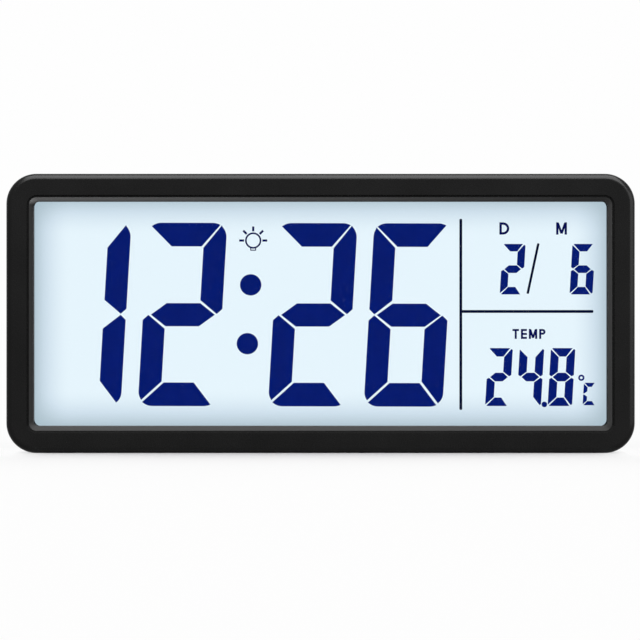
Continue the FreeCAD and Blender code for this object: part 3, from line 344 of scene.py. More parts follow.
def litPaneMaterial(name, plan):
    # the backlight's glow, made darker towards the sides and corners by painted shade of the window's border
    tree, shader, place = startMaterial(name, black, 0.4, Specular_IOR_Level=0.0,
                                        Emission_Strength=plan["strength"])
    split = splitPlace(tree, place)

    def paintedBorderShade(offset, half):
        inward = mathNode(tree, "SUBTRACT", half * mm, mathNode(tree, "ABSOLUTE", offset))
        share = mathNode(tree, "DIVIDE", inward, plan["shadeWidth"] * mm)
        left = mathNode(tree, "MAXIMUM", mathNode(tree, "SUBTRACT", 1.0, share), 0.0)
        return mathNode(tree, "POWER", left, plan["shadeCurve"])
    # painted shade of the window's border on the lit pane, deepest in the corners
    across = paintedBorderShade(split["X"], plan["halfWidth"])
    up = paintedBorderShade(mathNode(tree, "SUBTRACT", split["Z"], plan["middle"] * mm), plan["halfHeight"])
    both = mathNode(tree, "MULTIPLY", mathNode(tree, "MULTIPLY", across, up), plan["overlap"])
    total = mathNode(tree, "ADD", mathNode(tree, "ADD", across, up), both)
    colour = rampNode(tree, mathNode(tree, "DIVIDE", total, plan["darkest"]),
                      *[(stop, tone(*numbers)) for stop, numbers in plan["stops"]])
    tree.links.new(colour, shader.inputs["Emission Color"])


inks = {"segmentInk": (1, 24, 110), "ruleInk": (0, 7, 41), "letterInk": (1, 9, 76)}
inkLevels = ((0.35, 0.94), (0.65, 1.06))  # place in the noise and share of the colour


def inkMaterial(name, *numbers):
    # liquid crystal that lets a little deep blue through, faintly uneven
    tree, shader, place = startMaterial(name, black, 0.35, Specular_IOR_Level=0.0, Emission_Strength=1.0)
    stops = [(stop, (*[value * level for value in tone(*numbers)[:3]], 1)) for stop, level in inkLevels]
    uneven = noiseNode(tree, place, scale=300)
    tree.links.new(rampNode(tree, uneven, *stops), shader.inputs["Emission Color"])


# painted reflection of the floor: a paler tone on the lower round of the front
paintedFloorReflection = {"shade": 0.0095, "reach": 2.4, "stops": ((0, 1), (0.25, 0.8), (0.4, 0.42), (0.7, 0.17), (1, 0))}


def paintFloorReflection(name, plan):
    # painted reflection of the white floor: the front's lower round is a shade paler, up to reach in mm
    tree = finishes[name].node_tree
    base = tree.nodes["Principled BSDF"].inputs["Base Color"]
    level = rangeNode(tree, splitPlace(tree, objectPlace(tree))["Z"], 0, plan["reach"] * mm)
    share = rampNode(tree, level, *[(stop, grey(value)) for stop, value in plan["stops"]])
    tree.links.new(mixNode(tree, share, base.links[0].from_socket, grey(plan["shade"])), base)


# painted light and shade on the window's sloping border: a paler grey than the case, in a different tone on each
# side
lipPaintedShades = {
    "paintedShades": {"sill": (0.011, 0.0076), "head": (0.05, 0.0115), "jambs": (0.0065, 0.0137)},  # painted light and shade of each side, at its left and right end
    "across": (-100, 100), "up": (8.2, 94),  # mm
    "turn": (0.1, 0.9),  # from the sill's shade to the head's, as shares of the height
    "jambSpan": (0.018, 0.036, 0.964, 0.982),
}


def paintedLipMaterial(name, plan):
    # the sloping border of the window, with painted light and shade: its four sides, and left against right,
    # differ by a shade as the lamps and the lit pane fall on them
    tree, shader, place = startMaterial(name, grey(0.01), 0.34, Specular_IOR_Level=0.02)
    split = splitPlace(tree, place)
    across, level = [rangeNode(tree, split[axis], *[end * mm for end in plan[span]])
                     for axis, span in (("X", "across"), ("Z", "up"))]
    sill, head, jambs = [rampNode(tree, across, *[(end, grey(shade)) for end, shade in enumerate(pair)])
                         for pair in plan["paintedShades"].values()]
    upper = rampNode(tree, level, *zip(plan["turn"], (black, white)))
    middle = rampNode(tree, level, *zip(plan["jambSpan"], (black, white, white, black)))
    colour = mixNode(tree, middle, mixNode(tree, upper, sill, head), jambs)
    tree.links.new(colour, shader.inputs["Base Color"])
    addGrain(tree, shader, noiseNode(tree, place, scale=2400), depth=0.004)


boardTracks = {"scale": 260, "depth": 0.03, "stops": (
    (0.0, (0.03, 0.22, 0.09, 1)), (0.09, (0.03, 0.2, 0.08, 1)), (0.12, (0.006, 0.075, 0.03, 1)))}


def boardMaterial(name, plan):
    # solder resist, with the copper tracks below it as paler lines
    tree, shader, place = startMaterial(name, (0.01, 0.1, 0.04, 1), 0.3)
    tracks = addNode(tree, "ShaderNodeTexVoronoi", {"Vector": place, "Scale": plan["scale"]},
                     feature="DISTANCE_TO_EDGE")
    tree.links.new(rampNode(tree, tracks, *plan["stops"]), shader.inputs["Base Color"])
    addGrain(tree, shader, tracks, plan["depth"])


ribbonLines = {"scale": 320, "depth": 0.02, "stops": ((0.35, (0.42, 0.2, 0.03, 1)), (0.6, (0.6, 0.25, 0.09, 1)))}


def ribbonMaterial(name, plan):
    # copper conductors run along the amber film
    tree, shader, place = startMaterial(name, (0.4, 0.2, 0.03, 1), 0.35)
    bands = tree.nodes.new("ShaderNodeTexWave")
    bands.bands_direction = "X"
    bands.inputs["Scale"].default_value = plan["scale"]
    tree.links.new(place, bands.inputs["Vector"])
    tree.links.new(rampNode(tree, bands.outputs["Fac"], *plan["stops"]), shader.inputs["Base Color"])
    addGrain(tree, shader, bands.outputs["Fac"], plan["depth"])


cellEnds = {"cellPlusLeft": (40.7, 84.4), "cellPlusRight": (89.3, 45.6)}  # plus and minus end across, mm
cellStops = (0.0, 0.012, 0.014, 0.2, 0.202, 0.985, 0.987)  # both ends of plus tip, band and sleeve, then the tip


def cellMaterial(name, plusEnd, minusEnd):
    # a green sleeve with a pale band at the plus end, and bare steel tips
    tree, shader, place = startMaterial(name, (0.05, 0.2, 0.1, 1), 0.3)
    steel, pale, green = grey(0.5), (0.62, 0.64, 0.6, 1), (0.03, 0.17, 0.09, 1)
    along = rangeNode(tree, splitPlace(tree, place)["X"], plusEnd * mm, minusEnd * mm)
    colour = rampNode(tree, along, *zip(cellStops, (steel, steel, pale, pale, green, green, steel)))
    metal = rampNode(tree, along, *zip(cellStops[:3] + cellStops[5:], (white, white, black, black, white)))
    tree.links.new(colour, shader.inputs["Base Color"])
    tree.links.new(metal, shader.inputs["Metallic"])
    addGrain(tree, shader, noiseNode(tree, place, scale=500), depth=0.006)


for make, rows in ((mouldedMaterial, mouldings), (metalMaterial, metals), (sheetMaterial, clearSheets),
                   (inkMaterial, inks), (cellMaterial, cellEnds)):
    for name, values in rows.items():
        make(name, *values)
paintFloorReflection("casePlastic", paintedFloorReflection)
litPaneMaterial("litGlass", litPane)
paintedLipMaterial("lipPlasticPaintedLight", lipPaintedShades)
boardMaterial("boardResist", boardTracks)
ribbonMaterial("ribbonFilm", ribbonLines)
print("materials ready")


# camera, lights and floor

view = {  # mm, and metres for the clip
    "across": -0.21, "height": 48.68, "front": 13.5, "distance": 2500.0, "fieldWidth": 234.04,
    "clip": (0.05, 200),
}
camera = addObject("camera", bpy.data.cameras.new("camera"))
camera.location = (view["across"] * mm, -(view["distance"] + view["front"]) * mm, view["height"] * mm)
camera.rotation_euler = (math.radians(90), 0, 0)
camera.data.lens = camera.data.sensor_width * view["distance"] / view["fieldWidth"]
camera.data.clip_start, camera.data.clip_end = view["clip"]
scene.camera = camera
scene.view_settings.view_transform = "Standard"

skyLevel, aim = 0.991, (0, 0, 0.05)
scene.world = bpy.data.worlds.new("studioWhite")
scene.world.use_nodes = True
for socket, value in (("Color", white), ("Strength", skyLevel)):
    scene.world.node_tree.nodes["Background"].inputs[socket].default_value = value

softBoxes = {  # place and size in metres, and watts
    "topBox": ((0.12, -0.6, 1.1), (1.5, 1.6), 126.0),
    "sideBox": ((1.05, -0.72, 0.25), (1.3, 0.8), 19.0),
}
clockGroup = bpy.data.collections.new("clock")  # both boxes and the lit pane light only what is in it
for name, (place, size, watts) in softBoxes.items():
    lamp = bpy.data.lights.new(name, "AREA")
    lamp.shape = "RECTANGLE"
    lamp.size, lamp.size_y = size
    lamp.energy = watts
    item = addObject(name, lamp)
    item.location = place
    item.rotation_euler = (Vector(aim) - Vector(place)).to_track_quat("-Z", "Y").to_euler()
    item.light_linking.receiver_collection = clockGroup

floorPaper = {
    "size": 40, "paper": 0.995, "glow": 0.975,
    "start": 0.1, "end": 0.1125, "near": 0.05, "far": 0.2,  # the glow's reach, metres from the clock's middle
}


def floorMaterial(name, plan):
    # white paper, with painted light: past the ends of the clock it glows, which takes away the clock's shadow
    # there
    material = bpy.data.materials.new(name)
    finishes[name] = material
    material.use_nodes = True
    tree = material.node_tree
    tree.nodes.clear()
    split = splitPlace(tree, objectPlace(tree))
    # painted light: a band beside the clock's ends glows in place of the shadow it would take
    across = rangeNode(tree, mathNode(tree, "ABSOLUTE", split["X"]), plan["start"], plan["end"])
    depth = rangeNode(tree, mathNode(tree, "ABSOLUTE", split["Y"]), plan["near"], plan["far"], 1, 0)
    paper = addNode(tree, "ShaderNodeBsdfDiffuse", {"Color": grey(plan["paper"])})
    glow = addNode(tree, "ShaderNodeEmission", {"Strength": plan["glow"]})
    share = mathNode(tree, "MULTIPLY", across, depth)
    blend = addNode(tree, "ShaderNodeMixShader", {0: share, 1: paper, 2: glow})
    tree.links.new(blend, tree.nodes.new("ShaderNodeOutputMaterial").inputs["Surface"])


floorMaterial("floorPaper", floorPaper)
work = bmesh.new()
bmesh.ops.create_grid(work, x_segments=1, y_segments=1, size=floorPaper["size"])
floor = addObject("floor", meshFrom("floor", work, "floorPaper"))
floor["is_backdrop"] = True
print("camera, lights and floor ready")


# front casing: one closed skin swept round the window and the outer edge

casing = {
    "halfWidth": 115.0, "height": 102.2, "corner": 11.0, "cornerSteps": 20, "shadeAngle": 28,
    "front": -13.5, "seam": -2.5, "plateBack": -10.9,
    "frontRound": 2.22, "frontSteps": 12, "sideBand": 0.15, "faceBand": 0.12,  # the bands keep the shading flat
    "seamRound": 0.25, "seamSteps": 3,
    "wall": 2.2, "rebate": 1.1, "rebateFront": -4.1,
    "windowHalf": 105.17, "windowLow": 9.8, "windowHigh": 91.93, "windowCorner": 2.3,
    "lipWidth": 1.44, "lipHead": 1.6, "lipSill": 1.6, "lipDepth": 1.3, "lipCorner": 2.75,
    "lipEdge": 0.02, "lipEdgeSink": 0.03, "lipBand": 0.08, "lipBandSink": 0.01, "lipRound": 0.3, "lipSteps": 6,
    "grooveWidth": 0.86, "grooveDepth": 1.0, "grooveBand": 0.1, "grooveFloor": (0.8, 0.03),
    "grooveLow": 0.04, "grooveEnd": 0.7,  # the groove runs out along the sill, below this share of the height
}


def caseRing(plan, inset, depth):
    return outlineRing(plan["halfWidth"] - inset, inset, plan["height"] - inset, plan["corner"] - inset, depth,
                       plan["cornerSteps"])


def windowRing(plan, outset, depth):
    share = min(outset / plan["lipWidth"], 1)
    corner = plan["windowCorner"] + (plan["lipCorner"] - plan["windowCorner"]) * share
    corner += max(outset - plan["lipWidth"], 0)
    sill, head = [share * (plan[side] - plan["lipWidth"]) for side in ("lipSill", "lipHead")]
    return outlineRing(plan["windowHalf"] + outset, plan["windowLow"] - outset - sill,
                       plan["windowHigh"] + outset + head, corner, depth, plan["cornerSteps"])


def buildCasing(name, plan):
    rings, paint = [], []
    front, edge = plan["front"], plan["lipWidth"]

    def put(ring, material=0):  # material of the faces from this ring to the next
        rings.append(ring)
        paint.append(material)
    arc = plan["seamRound"]
    for step in range(plan["seamSteps"] + 1):
        turn = math.radians(90 * step / plan["seamSteps"])
        put(caseRing(plan, arc * (1 - math.sin(turn)), plan["seam"] - arc * (1 - math.cos(turn))))
    arc = plan["frontRound"]
    put(caseRing(plan, 0, front + arc + plan["sideBand"]))
    for step in range(plan["frontSteps"] + 1):
        turn = math.radians(90 * step / plan["frontSteps"])
        put(caseRing(plan, arc * (1 - math.cos(turn)), front + arc * (1 - math.sin(turn))))
    put(caseRing(plan, arc + plan["faceBand"], front))
    groove = edge + plan["grooveWidth"]
    put(windowRing(plan, groove + plan["grooveBand"], front))
    put(windowRing(plan, groove, front))
    for share in plan["grooveFloor"]:
        ring = windowRing(plan, edge + plan["grooveWidth"] * share, front)
        low, high = ring[0][2], ring[plan["cornerSteps"]][2]
        end = low + (high - low) * plan["grooveEnd"]
        put([(across, front + plan["grooveDepth" if up > end else "grooveLow"], up) for across, _, up in ring])
    put(windowRing(plan, edge + plan["lipEdge"], front + plan["lipEdgeSink"]), 1)
    slope = plan["lipDepth"] / edge
    put(windowRing(plan, edge - plan["lipBand"], front + slope * plan["lipBand"] + plan["lipBandSink"]), 1)
    steep = math.pi / 2 - math.atan(slope)
    arc = plan["lipRound"]
    middle = front + plan["lipDepth"] + arc * math.tan(steep / 2)
    for step in range(plan["lipSteps"] + 1):
        turn = steep * (1 - step / plan["lipSteps"])
        put(windowRing(plan, arc * (1 - math.cos(turn)), middle - arc * math.sin(turn)), 1)
    put(windowRing(plan, 0, plan["plateBack"]))
    for inset, depth in (("wall", "plateBack"), ("wall", "rebateFront"), ("rebate", "rebateFront"),
                         ("rebate", "seam")):
        put(caseRing(plan, plan[inset], plan[depth]))
    work = bmesh.new()
    joinRows(work, addRows(work, rings), paint=paint)
    item = closedObject(name, work, "casePlastic", "lipPlasticPaintedLight")
    smoothShade(item.data, plan["shadeAngle"])
    return item


finishPiece(buildCasing("casing_front", casing), "case", "case_black", "front_bezel")
print("front casing ready")


# display sheets: plates with eased edges, a hair apart so that no two faces share a place

displaySheets = {  # half width, low, high, corner, front and back in mm, then finish, slot and node
    "lens_plate": (106.2, 7.8, 93.4, 0.8, -10.69, -9.21, "clearLens", "clear_lens", "window_lens"),
    "polariser_front": (105.2, 9.8, 92.4, 0.3, -8.99, -8.815, "clearFilm", "film", "front_polariser"),
    "glass_front": (105.2, 8.8, 92.4, 0.3, -8.795, -7.715, "clearGlass", "glass", "front_glass"),
    "glass_lit": (105.2, 9.8, 92.4, 0.3, -7.585, -6.51, "litGlass", "glass", "rear_glass"),
}
sheetEdges = {"ease": 0.12, "most": 0.3, "cornerSteps": 5, "shadeAngle": 25}  # mm, or a share of a thin sheet
sealLine = {
    "half": 105.2, "low": 9.8, "high": 92.4, "corner": 0.3, "front": -7.7, "back": -7.6, "cornerSteps": 12,
    "width": 0.36, "endShare": 0.2, "innerShift": -0.06, "innerCorner": 2.4,  # thinner along the sill and head
}


def buildSheet(name, half, low, high, corner, front, back, label):
    ease = min(sheetEdges["ease"], (back - front) * sheetEdges["most"])
    work = bmesh.new()
    rows = addRows(work, [
        outlineRing(half - shrink, low + shrink, high - shrink, corner, depth, sheetEdges["cornerSteps"])
        for shrink, depth in ((ease, front), (0, front + ease), (0, back - ease), (ease, back))])
    joinRows(work, rows, closed=False)
    work.faces.new(rows[0])
    work.faces.new(rows[-1])
    item = closedObject(name, work, label)
    smoothShade(item.data, sheetEdges["shadeAngle"])
    return item


def buildSeal(name, plan):
    def loop(shrink, shift, corner):
        ends = shrink * plan["endShare"]
        ring = outlineRing(plan["half"] - shrink, plan["low"] + ends, plan["high"] - ends, corner, 0,
                           plan["cornerSteps"])
        return [(across + shift, up) for across, _, up in ring]
    work = bmesh.new()
    ringPrism(work, loop(0, 0, plan["corner"]), loop(plan["width"], plan["innerShift"], plan["innerCorner"]),
              plan["front"], plan["back"])
    return closedObject(name, work, "sealResin")


for name, (*values, slotName, node) in displaySheets.items():
    finishPiece(buildSheet(name, *values), "case", slotName, node)
bpy.data.objects["glass_lit"].light_linking.receiver_collection = clockGroup
finishPiece(buildSeal("seal_line", sealLine), "case", "seal_grey", "cell_seal")
print("display sheets ready")


# moulded parts taken over from the solids, with their sharp edges eased

easedParts = {  # new name, body, slot, finish and width of the eased edges in mm
    "rear_cover": ("casing_rear", "case", "case_black", "rearPlastic", 0.18),
    "stand_leg": ("leg_plate", "leg", "case_black", "rearPlastic", 0.2),
    "battery_door": ("door_plate", "door", "case_black", "rearPlastic", 0.12),
    "backlight_slider": ("slider_cap", "slider", "key_black", "keyPlastic", 0.1),
}
for key in keyNames:
    easedParts[key + "_key"] = (key + "_key_cap", key + "_button", "key_black", "keyPlastic", 0.12)
easing = {"segments": 2, "sharperThan": 40, "shadeAngle": 32}  # degrees


def easeEdges(node, name, label, width):
    item = addObject(name, meshFrom(name, copyNode(node), label))
    bevel = item.modifiers.new("edges", "BEVEL")
    bevel.width = width * mm
    bevel.segments = easing["segments"]
    bevel.limit_method = "ANGLE"
    bevel.angle_limit = math.radians(easing["sharperThan"])
    bakeModifiers(item)
    smoothShade(item.data, easing["shadeAngle"])
    item.modifiers.new("shading", "WEIGHTED_NORMAL").keep_sharp = True  # broad faces stay flat
    return bakeModifiers(item)


for node, (name, body, slotName, label, width) in easedParts.items():
    finishPiece(easeEdges(node, name, label, width), body, slotName, node)
print("rear casing, leg, door and keys ready")


# printed marks in the cell: the lamp sign and letters

markDepths = (-7.69, -7.61)  # front and back of the ink, mm
lampSign = {
    "centre": (-24.7, 77.81), "radius": 2.67, "stroke": 0.62, "steps": 48,
    "rayFrom": 3.35, "rayTo": 5.15, "rayWidth": 0.8, "rayTurns": range(0, 181, 45),
    "baseHalf": 1.08, "baseLow": 74.09, "baseHigh": 75.26, "baseStroke": 0.36,
}
letters = {  # word, its left, right, low and high, and its stroke, mm
    "letter_day": ("D", (65.54, 69.18, 79.98, 84.49), 0.9),
    "letter_month": ("M", (86.34, 90.3, 79.98, 84.49), 0.86),
    "letters_temperature": ("TEMP", (70.34, 82.44, 41.75, 45.39), 0.76),
}
letterWidths = {"D": 0.82, "M": 0.95, "T": 0.74, "E": 0.68, "P": 0.72, "gap": 0.22}
letterForms = {"veeIn": 0.7, "veeDown": 0.6, "bowlLow": 0.42, "bowlSteps": 10}  # shares of the stroke or height


def buildLampSign(name, plan):
    work = bmesh.new()
    circleRing(work, plan["centre"], plan["radius"], plan["stroke"], plan["steps"], *markDepths)
    rays(work, plan["centre"], plan["rayTurns"], plan["rayFrom"], plan["rayTo"], plan["rayWidth"], *markDepths)
    left, right = [plan["centre"][0] + side * plan["baseHalf"] for side in (-1, 1)]
    loops = [boxLoop(left + shrink, plan["baseLow"] + shrink, right - shrink, plan["baseHigh"] - shrink)
             for shrink in (0, plan["baseStroke"])]
    ringPrism(work, *loops, *markDepths)
    return closedObject(name, work, "letterInk")


def bowlPrism(work, left, right, low, high, stroke):
    # the bowl of D and P: two straight arms and a half ring
    radius = min((high - low) / 2, right - left)
    middle = right - radius

    def arc(reach, shrink):
        half = (high - low) / 2 - shrink
        steps = letterForms["bowlSteps"]
        turns = [math.pi / 2 - math.pi * step / steps for step in range(steps + 1)]
        return [(middle + reach * math.cos(turn), (low + high) / 2 + half * math.sin(turn)) for turn in turns]
    outer = [(left, high), *arc(radius, 0), (left, low)]
    inner = [(left, high - stroke), *arc(radius - stroke, stroke), (left, low + stroke)]
    for index in range(len(outer) - 1):
        prism(work, [outer[index], outer[index + 1], inner[index + 1], inner[index]], *markDepths)


def letterPrisms(work, letter, left, right, low, high, stroke):
    half, middle = stroke / 2, (left + right) / 2

    def bar(*ends):
        strokePrism(work, ends[:2], ends[2:], stroke, *markDepths)
    if letter == "T":
        bar(left, high - half, right, high - half)
        bar(middle, low, middle, high - stroke)
        return
    bar(left + half, low, left + half, high)
    if letter == "E":
        for up in (low + half, (low + high) / 2, high - half):
            bar(left + stroke, up, right, up)
    elif letter == "M":
        bar(right - half, low, right - half, high)
        inward = stroke * letterForms["veeIn"]
        for start in (left + inward, right - inward):
            bar(start, high - half * letterForms["veeDown"], middle, low + half)
    else:
        bowlLow = low + (high - low) * letterForms["bowlLow"] if letter == "P" else low
        bowlPrism(work, left + stroke, right, bowlLow, high, stroke)


def buildLetters(name, word, box, stroke):
    left, right, low, high = box
    shares = [letterWidths[letter] for letter in word]
    scale = (right - left) / (sum(shares) + letterWidths["gap"] * (len(word) - 1))
    work = bmesh.new()
    for letter, share in zip(word, shares):
        letterPrisms(work, letter, left, left + share * scale, low, high, stroke)
        left += (share + letterWidths["gap"]) * scale
    return closedObject(name, work, "letterInk")


# the cell's own marks: each outline grows by its kind, across and up, mm

inkPlain = {
    "ink": "segmentInk", "middle": 0, "shift": (0, 0),
    "cut": 0, "reach": math.inf,  # of a standing segment's corner, and how far below the middle it grows upward
    "digits": (), "spread": 0, "lean": 0, "nudge": {}, "unit": {"from": math.inf}, "ruled": (0, 0),
}
inkMarks = {
    "time_segments": {
        **inkPlain, "name": "time_ink", "middle": 50.5, "shift": (0.0, 0.1), "cut": 1.85, "reach": 27,
        "lying": (0.24, 0.2), "centre": (0.2, 0.12), "standing": (-0.08, 0.34), "round": (0.1, 0.08),
        "digits": ((-200.0, -69.7, -86.0), (-69.7, -31.3, -51.0), (-20.3, 14.4, -3.1), (14.4, 60.0, 31.2)),
        "spread": 0.02, "lean": -0.00235, "nudge": {"centre": (0.11, 0, -0.09), "round": (0, 0, -0.2)},
    },
    "date_segments": {
        **inkPlain, "name": "date_ink", "middle": 67.28, "shift": (0.07, 0.03), "cut": 0.5,
        "lying": (-0.02, 0.11), "centre": (-0.02, 0.13), "standing": (0.12, -0.03), "round": (0.05, 0.13),
        "ruled": (77.7, 2.8),  # the stroke between day and month is printed like the rules
    },
    "temperature_segments": {
        **inkPlain, "name": "temperature_ink", "middle": 27.78, "shift": (0.05, 0.0), "cut": 0.5,
        "lying": (-0.02, 0.11), "centre": (-0.02, 0.13), "standing": (0.08, -0.03), "round": (0.16, 0.16),
        "unit": {"from": 98.3, "middle": 21.5, "low": 0.8, "high": 0.42},  # the unit's bars reach further out
    },
    "display_rules": {
        **inkPlain, **dict.fromkeys(("lying", "centre", "standing", "round"), (0.14, 0.15)),
        "name": "rule_ink", "ink": "ruleInk", "shift": (0.02, 0.02),
    },
}
inkShapes = {
    "roundCorners": 15, "dot": 1,  # more corners, or a smaller shape in mm, is round
    "longer": 10, "beside": 0.1, "upright": 0.9,  # which segments and corners are cut
    "sharpest": 0.4,  # limits how far a sharp tip grows
    "facing": 0.5,  # a face that looks forwards or back, not sideways
}


def shapeKind(face, middle):
    # what a mark is, from the box round its front
    spans = [[corner.co[axis] / mm for corner in face.verts] for axis in (0, 2)]
    wide, tall = [max(span) - min(span) for span in spans]
    if len(face.verts) > inkShapes["roundCorners"] or max(wide, tall) < inkShapes["dot"]:
        return "round"
    if wide > tall:
        return "centre" if min(spans[1]) < middle < max(spans[1]) else "lying"
    return "standing"


def cutCorner(face, middle, cut):
    # a long standing segment loses its outer corner beside the middle
    corners = [loop.vert for loop in face.loops]
    ups = [corner.co.z / mm for corner in corners]
    if not max(ups) - min(ups) > cut * inkShapes["longer"] > 0 or min(ups) < middle < max(ups):
        return {}
    away = [abs(up - middle) for up in ups]
    sides = []
    for index, corner in enumerate(corners):
        for step in (-1, 1):
            side = corners[(index + step) % len(corners)].co - corner.co
            beside = away[index] <= min(away) + inkShapes["beside"]
            if beside and abs(side.z) > side.length * inkShapes["upright"]:
                sides.append((side.length, corner, side.normalized()))
    if not sides:
        return {}
    corner, along = max(sides, key=lambda side: side[0])[1:]
    return {corner: along * cut * mm}


def growCorner(corner, kind, plan):
    walls = [face.normal for face in corner.link_faces if abs(face.normal.y) < inkShapes["facing"]]
    first, second = walls[0], walls[-1]
    out = (first + second) * (mm / max(1 + first.dot(second), inkShapes["sharpest"]))
    across, up = corner.co.x / mm, corner.co.z / mm
    grow = plan[kind][0], plan[kind][1] if kind != "standing" or plan["middle"] - up < plan["reach"] else 0
    move = Vector((plan["shift"][0] * mm + out.x * grow[0], 0, plan["shift"][1] * mm + out.z * grow[1]))
    for start, end, centre in plan["digits"]:
        if start < across < end:
            move.x += (across - centre) * plan["spread"] * mm
    move.z += across * plan["lean"] * mm
    if across > plan["unit"]["from"]:
        move.x += plan["unit"]["high" if up > plan["unit"]["middle"] else "low"] * mm
    return move + Vector(plan["nudge"].get(kind, (0, 0, 0))) * mm


def buildInk(node, plan):
    # every outline grows a little, and stays between the two glasses
    work = copyNode(node)
    work.normal_update()
    kinds, cuts = {}, {}
    for face in work.faces:
        if abs(face.normal.y) > inkShapes["facing"]:
            kind = shapeKind(face, plan["middle"])
            kinds.update({corner: kind for corner in face.verts})
            if kind == "standing":
                cuts.update(cutCorner(face, plan["middle"], plan["cut"]))
    moves = [growCorner(corner, kinds[corner], plan) + cuts.get(corner, Vector()) for corner in work.verts]
    front, back = [depth * mm for depth in markDepths]
    for corner, move in zip(work.verts, moves):
        corner.co += move
        corner.co.y = front if corner.co.y < (front + back) / 2 else back
    across, reach = plan["ruled"]
    for face in work.faces:
        if abs(face.calc_center_median().x / mm - across) < reach:
            face.material_index = 1
    return addObject(plan["name"], meshFrom(plan["name"], work, plan["ink"], "ruleInk"))


for node, values in inkMarks.items():
    finishPiece(buildInk(node, values), "case", "segment_ink", node)
finishPiece(buildLampSign("lamp_sign", lampSign), "case", "segment_ink")
for name, values in letters.items():
    finishPiece(buildLetters(name, *values), "case", "segment_ink")
print("printed marks ready")


# geometry node helpers: trees with named inputs, run once on a plain mesh of points

def newTree(name, *sizes):
    tree = bpy.data.node_groups.new(name, "GeometryNodeTree")
    for label, kind in (("Points", "Geometry"), ("material", "Material"), *[(size, "Float") for size in sizes]):
        tree.interface.new_socket(label, in_out="INPUT", socket_type="NodeSocket" + kind)
    tree.interface.new_socket("Geometry", in_out="OUTPUT", socket_type="NodeSocketGeometry")
    return tree, tree.nodes.new("NodeGroupInput").outputs


def alongAxis(tree, axis, value):
    return addNode(tree, "ShaderNodeCombineXYZ", {axis: value})


def raised(tree, shape, height):
    shift = alongAxis(tree, "Z", height)
    return addNode(tree, "GeometryNodeTransform", {"Geometry": shape, "Translation": shift})


def tube(tree, path, sides, radius):
    section = addNode(tree, "GeometryNodeCurvePrimitiveCircle", {"Resolution": sides, "Radius": radius},
                      mode="RADIUS")
    return addNode(tree, "GeometryNodeCurveToMesh", {"Curve": path, "Profile Curve": section, "Fill Caps": True})


def placeAll(tree, given, shape, seed=None):
    # a copy at each point, turned as the point says and by chance about its own axis
    turn = addNode(tree, "GeometryNodeInputNamedAttribute", {"Name": "turn"}, data_type="FLOAT_VECTOR")
    copies = addNode(tree, "GeometryNodeInstanceOnPoints",
                     {"Points": given["Points"], "Instance": shape, "Rotation": turn})
    if seed:
        spin = tree.nodes.new("FunctionNodeRandomValue")
        spin.data_type = "FLOAT"
        limits = [socket for socket in spin.inputs if socket.type == "VALUE"]
        limits[0].default_value, limits[1].default_value = 0.0, math.pi
        spin.inputs["Seed"].default_value = seed
        chance = [socket for socket in spin.outputs if socket.type == "VALUE"][0]
        copies = addNode(tree, "GeometryNodeRotateInstances", {
            "Instances": copies, "Rotation": alongAxis(tree, "Z", chance), "Local Space": True})
    real = addNode(tree, "GeometryNodeRealizeInstances", {"Geometry": copies})
    painted = addNode(tree, "GeometryNodeSetMaterial", {"Geometry": real, "Material": given["material"]})
    tree.links.new(painted, tree.nodes.new("NodeGroupOutput").inputs[0])
    return tree


def runTree(name, tree, places, label, **sizes):
    # places: across, depth and up in mm, and a turn in degrees
    points = bpy.data.meshes.new(name)
    points.from_pydata([[value * mm for value in place[:3]] for place in places], [], [])
    turns = points.attributes.new("turn", "FLOAT_VECTOR", "POINT")
    for entry, place in zip(turns.data, places):
        entry.vector = [math.radians(value) for value in place[3]]
    item = addObject(name, points)
    modifier = item.modifiers.new("nodes", "NODES")
    modifier.node_group = tree
    values = {**sizes, "material": finishes[label]}
    for socket in tree.interface.items_tree:
        if socket.in_out == "INPUT" and socket.name in values:
            modifier[socket.identifier] = values[socket.name]
    bakeModifiers(item)
    smoothShade(item.data)
    return item


# screws: a pan head with a cross recess on a threaded shank, heads towards local Z

smallScrew = {"headRadius": 1.75, "headHeight": 1.08, "shankRadius": 0.93, "pitch": 0.6}  # mm
screwSizes = {
    "case_screws": {
        "headRadius": 2.38, "headHeight": 1.78, "shankRadius": 1.23, "pitch": 0.9,
        "shankLength": 13.45, "tilt": -90,
        "places": [(side * 109.2, 5.5, up) for side in (-1, 1) for up in (14.0, 88.2)]},
    "carrier_screws": {
        **smallScrew, "shankLength": 6.75, "tilt": -90,
        "places": [(across, -2.6, up) for across in (-70, 0, 70) for up in (5.3, 96.9)]},
    "board_screws": {
        **smallScrew, "shankLength": 6.05, "tilt": 90,
        "places": [(across, 3.7, up) for across in (-96.5, -39.5) for up in (48.5, 79.5)]},
}
screwForm = {  # shares of the head's or the shank's own size
    "rim": 0.55, "crown": 0.45, "domeTop": 0.72, "slotReach": 1.05, "slotWidth": 0.24, "slotDepth": 1.3,
    "core": 0.82, "crest": 0.88, "ridge": 0.12,
    "headSides": 40, "coreSides": 24, "threadSteps": 20, "threadSides": 3, "seed": 7,
}


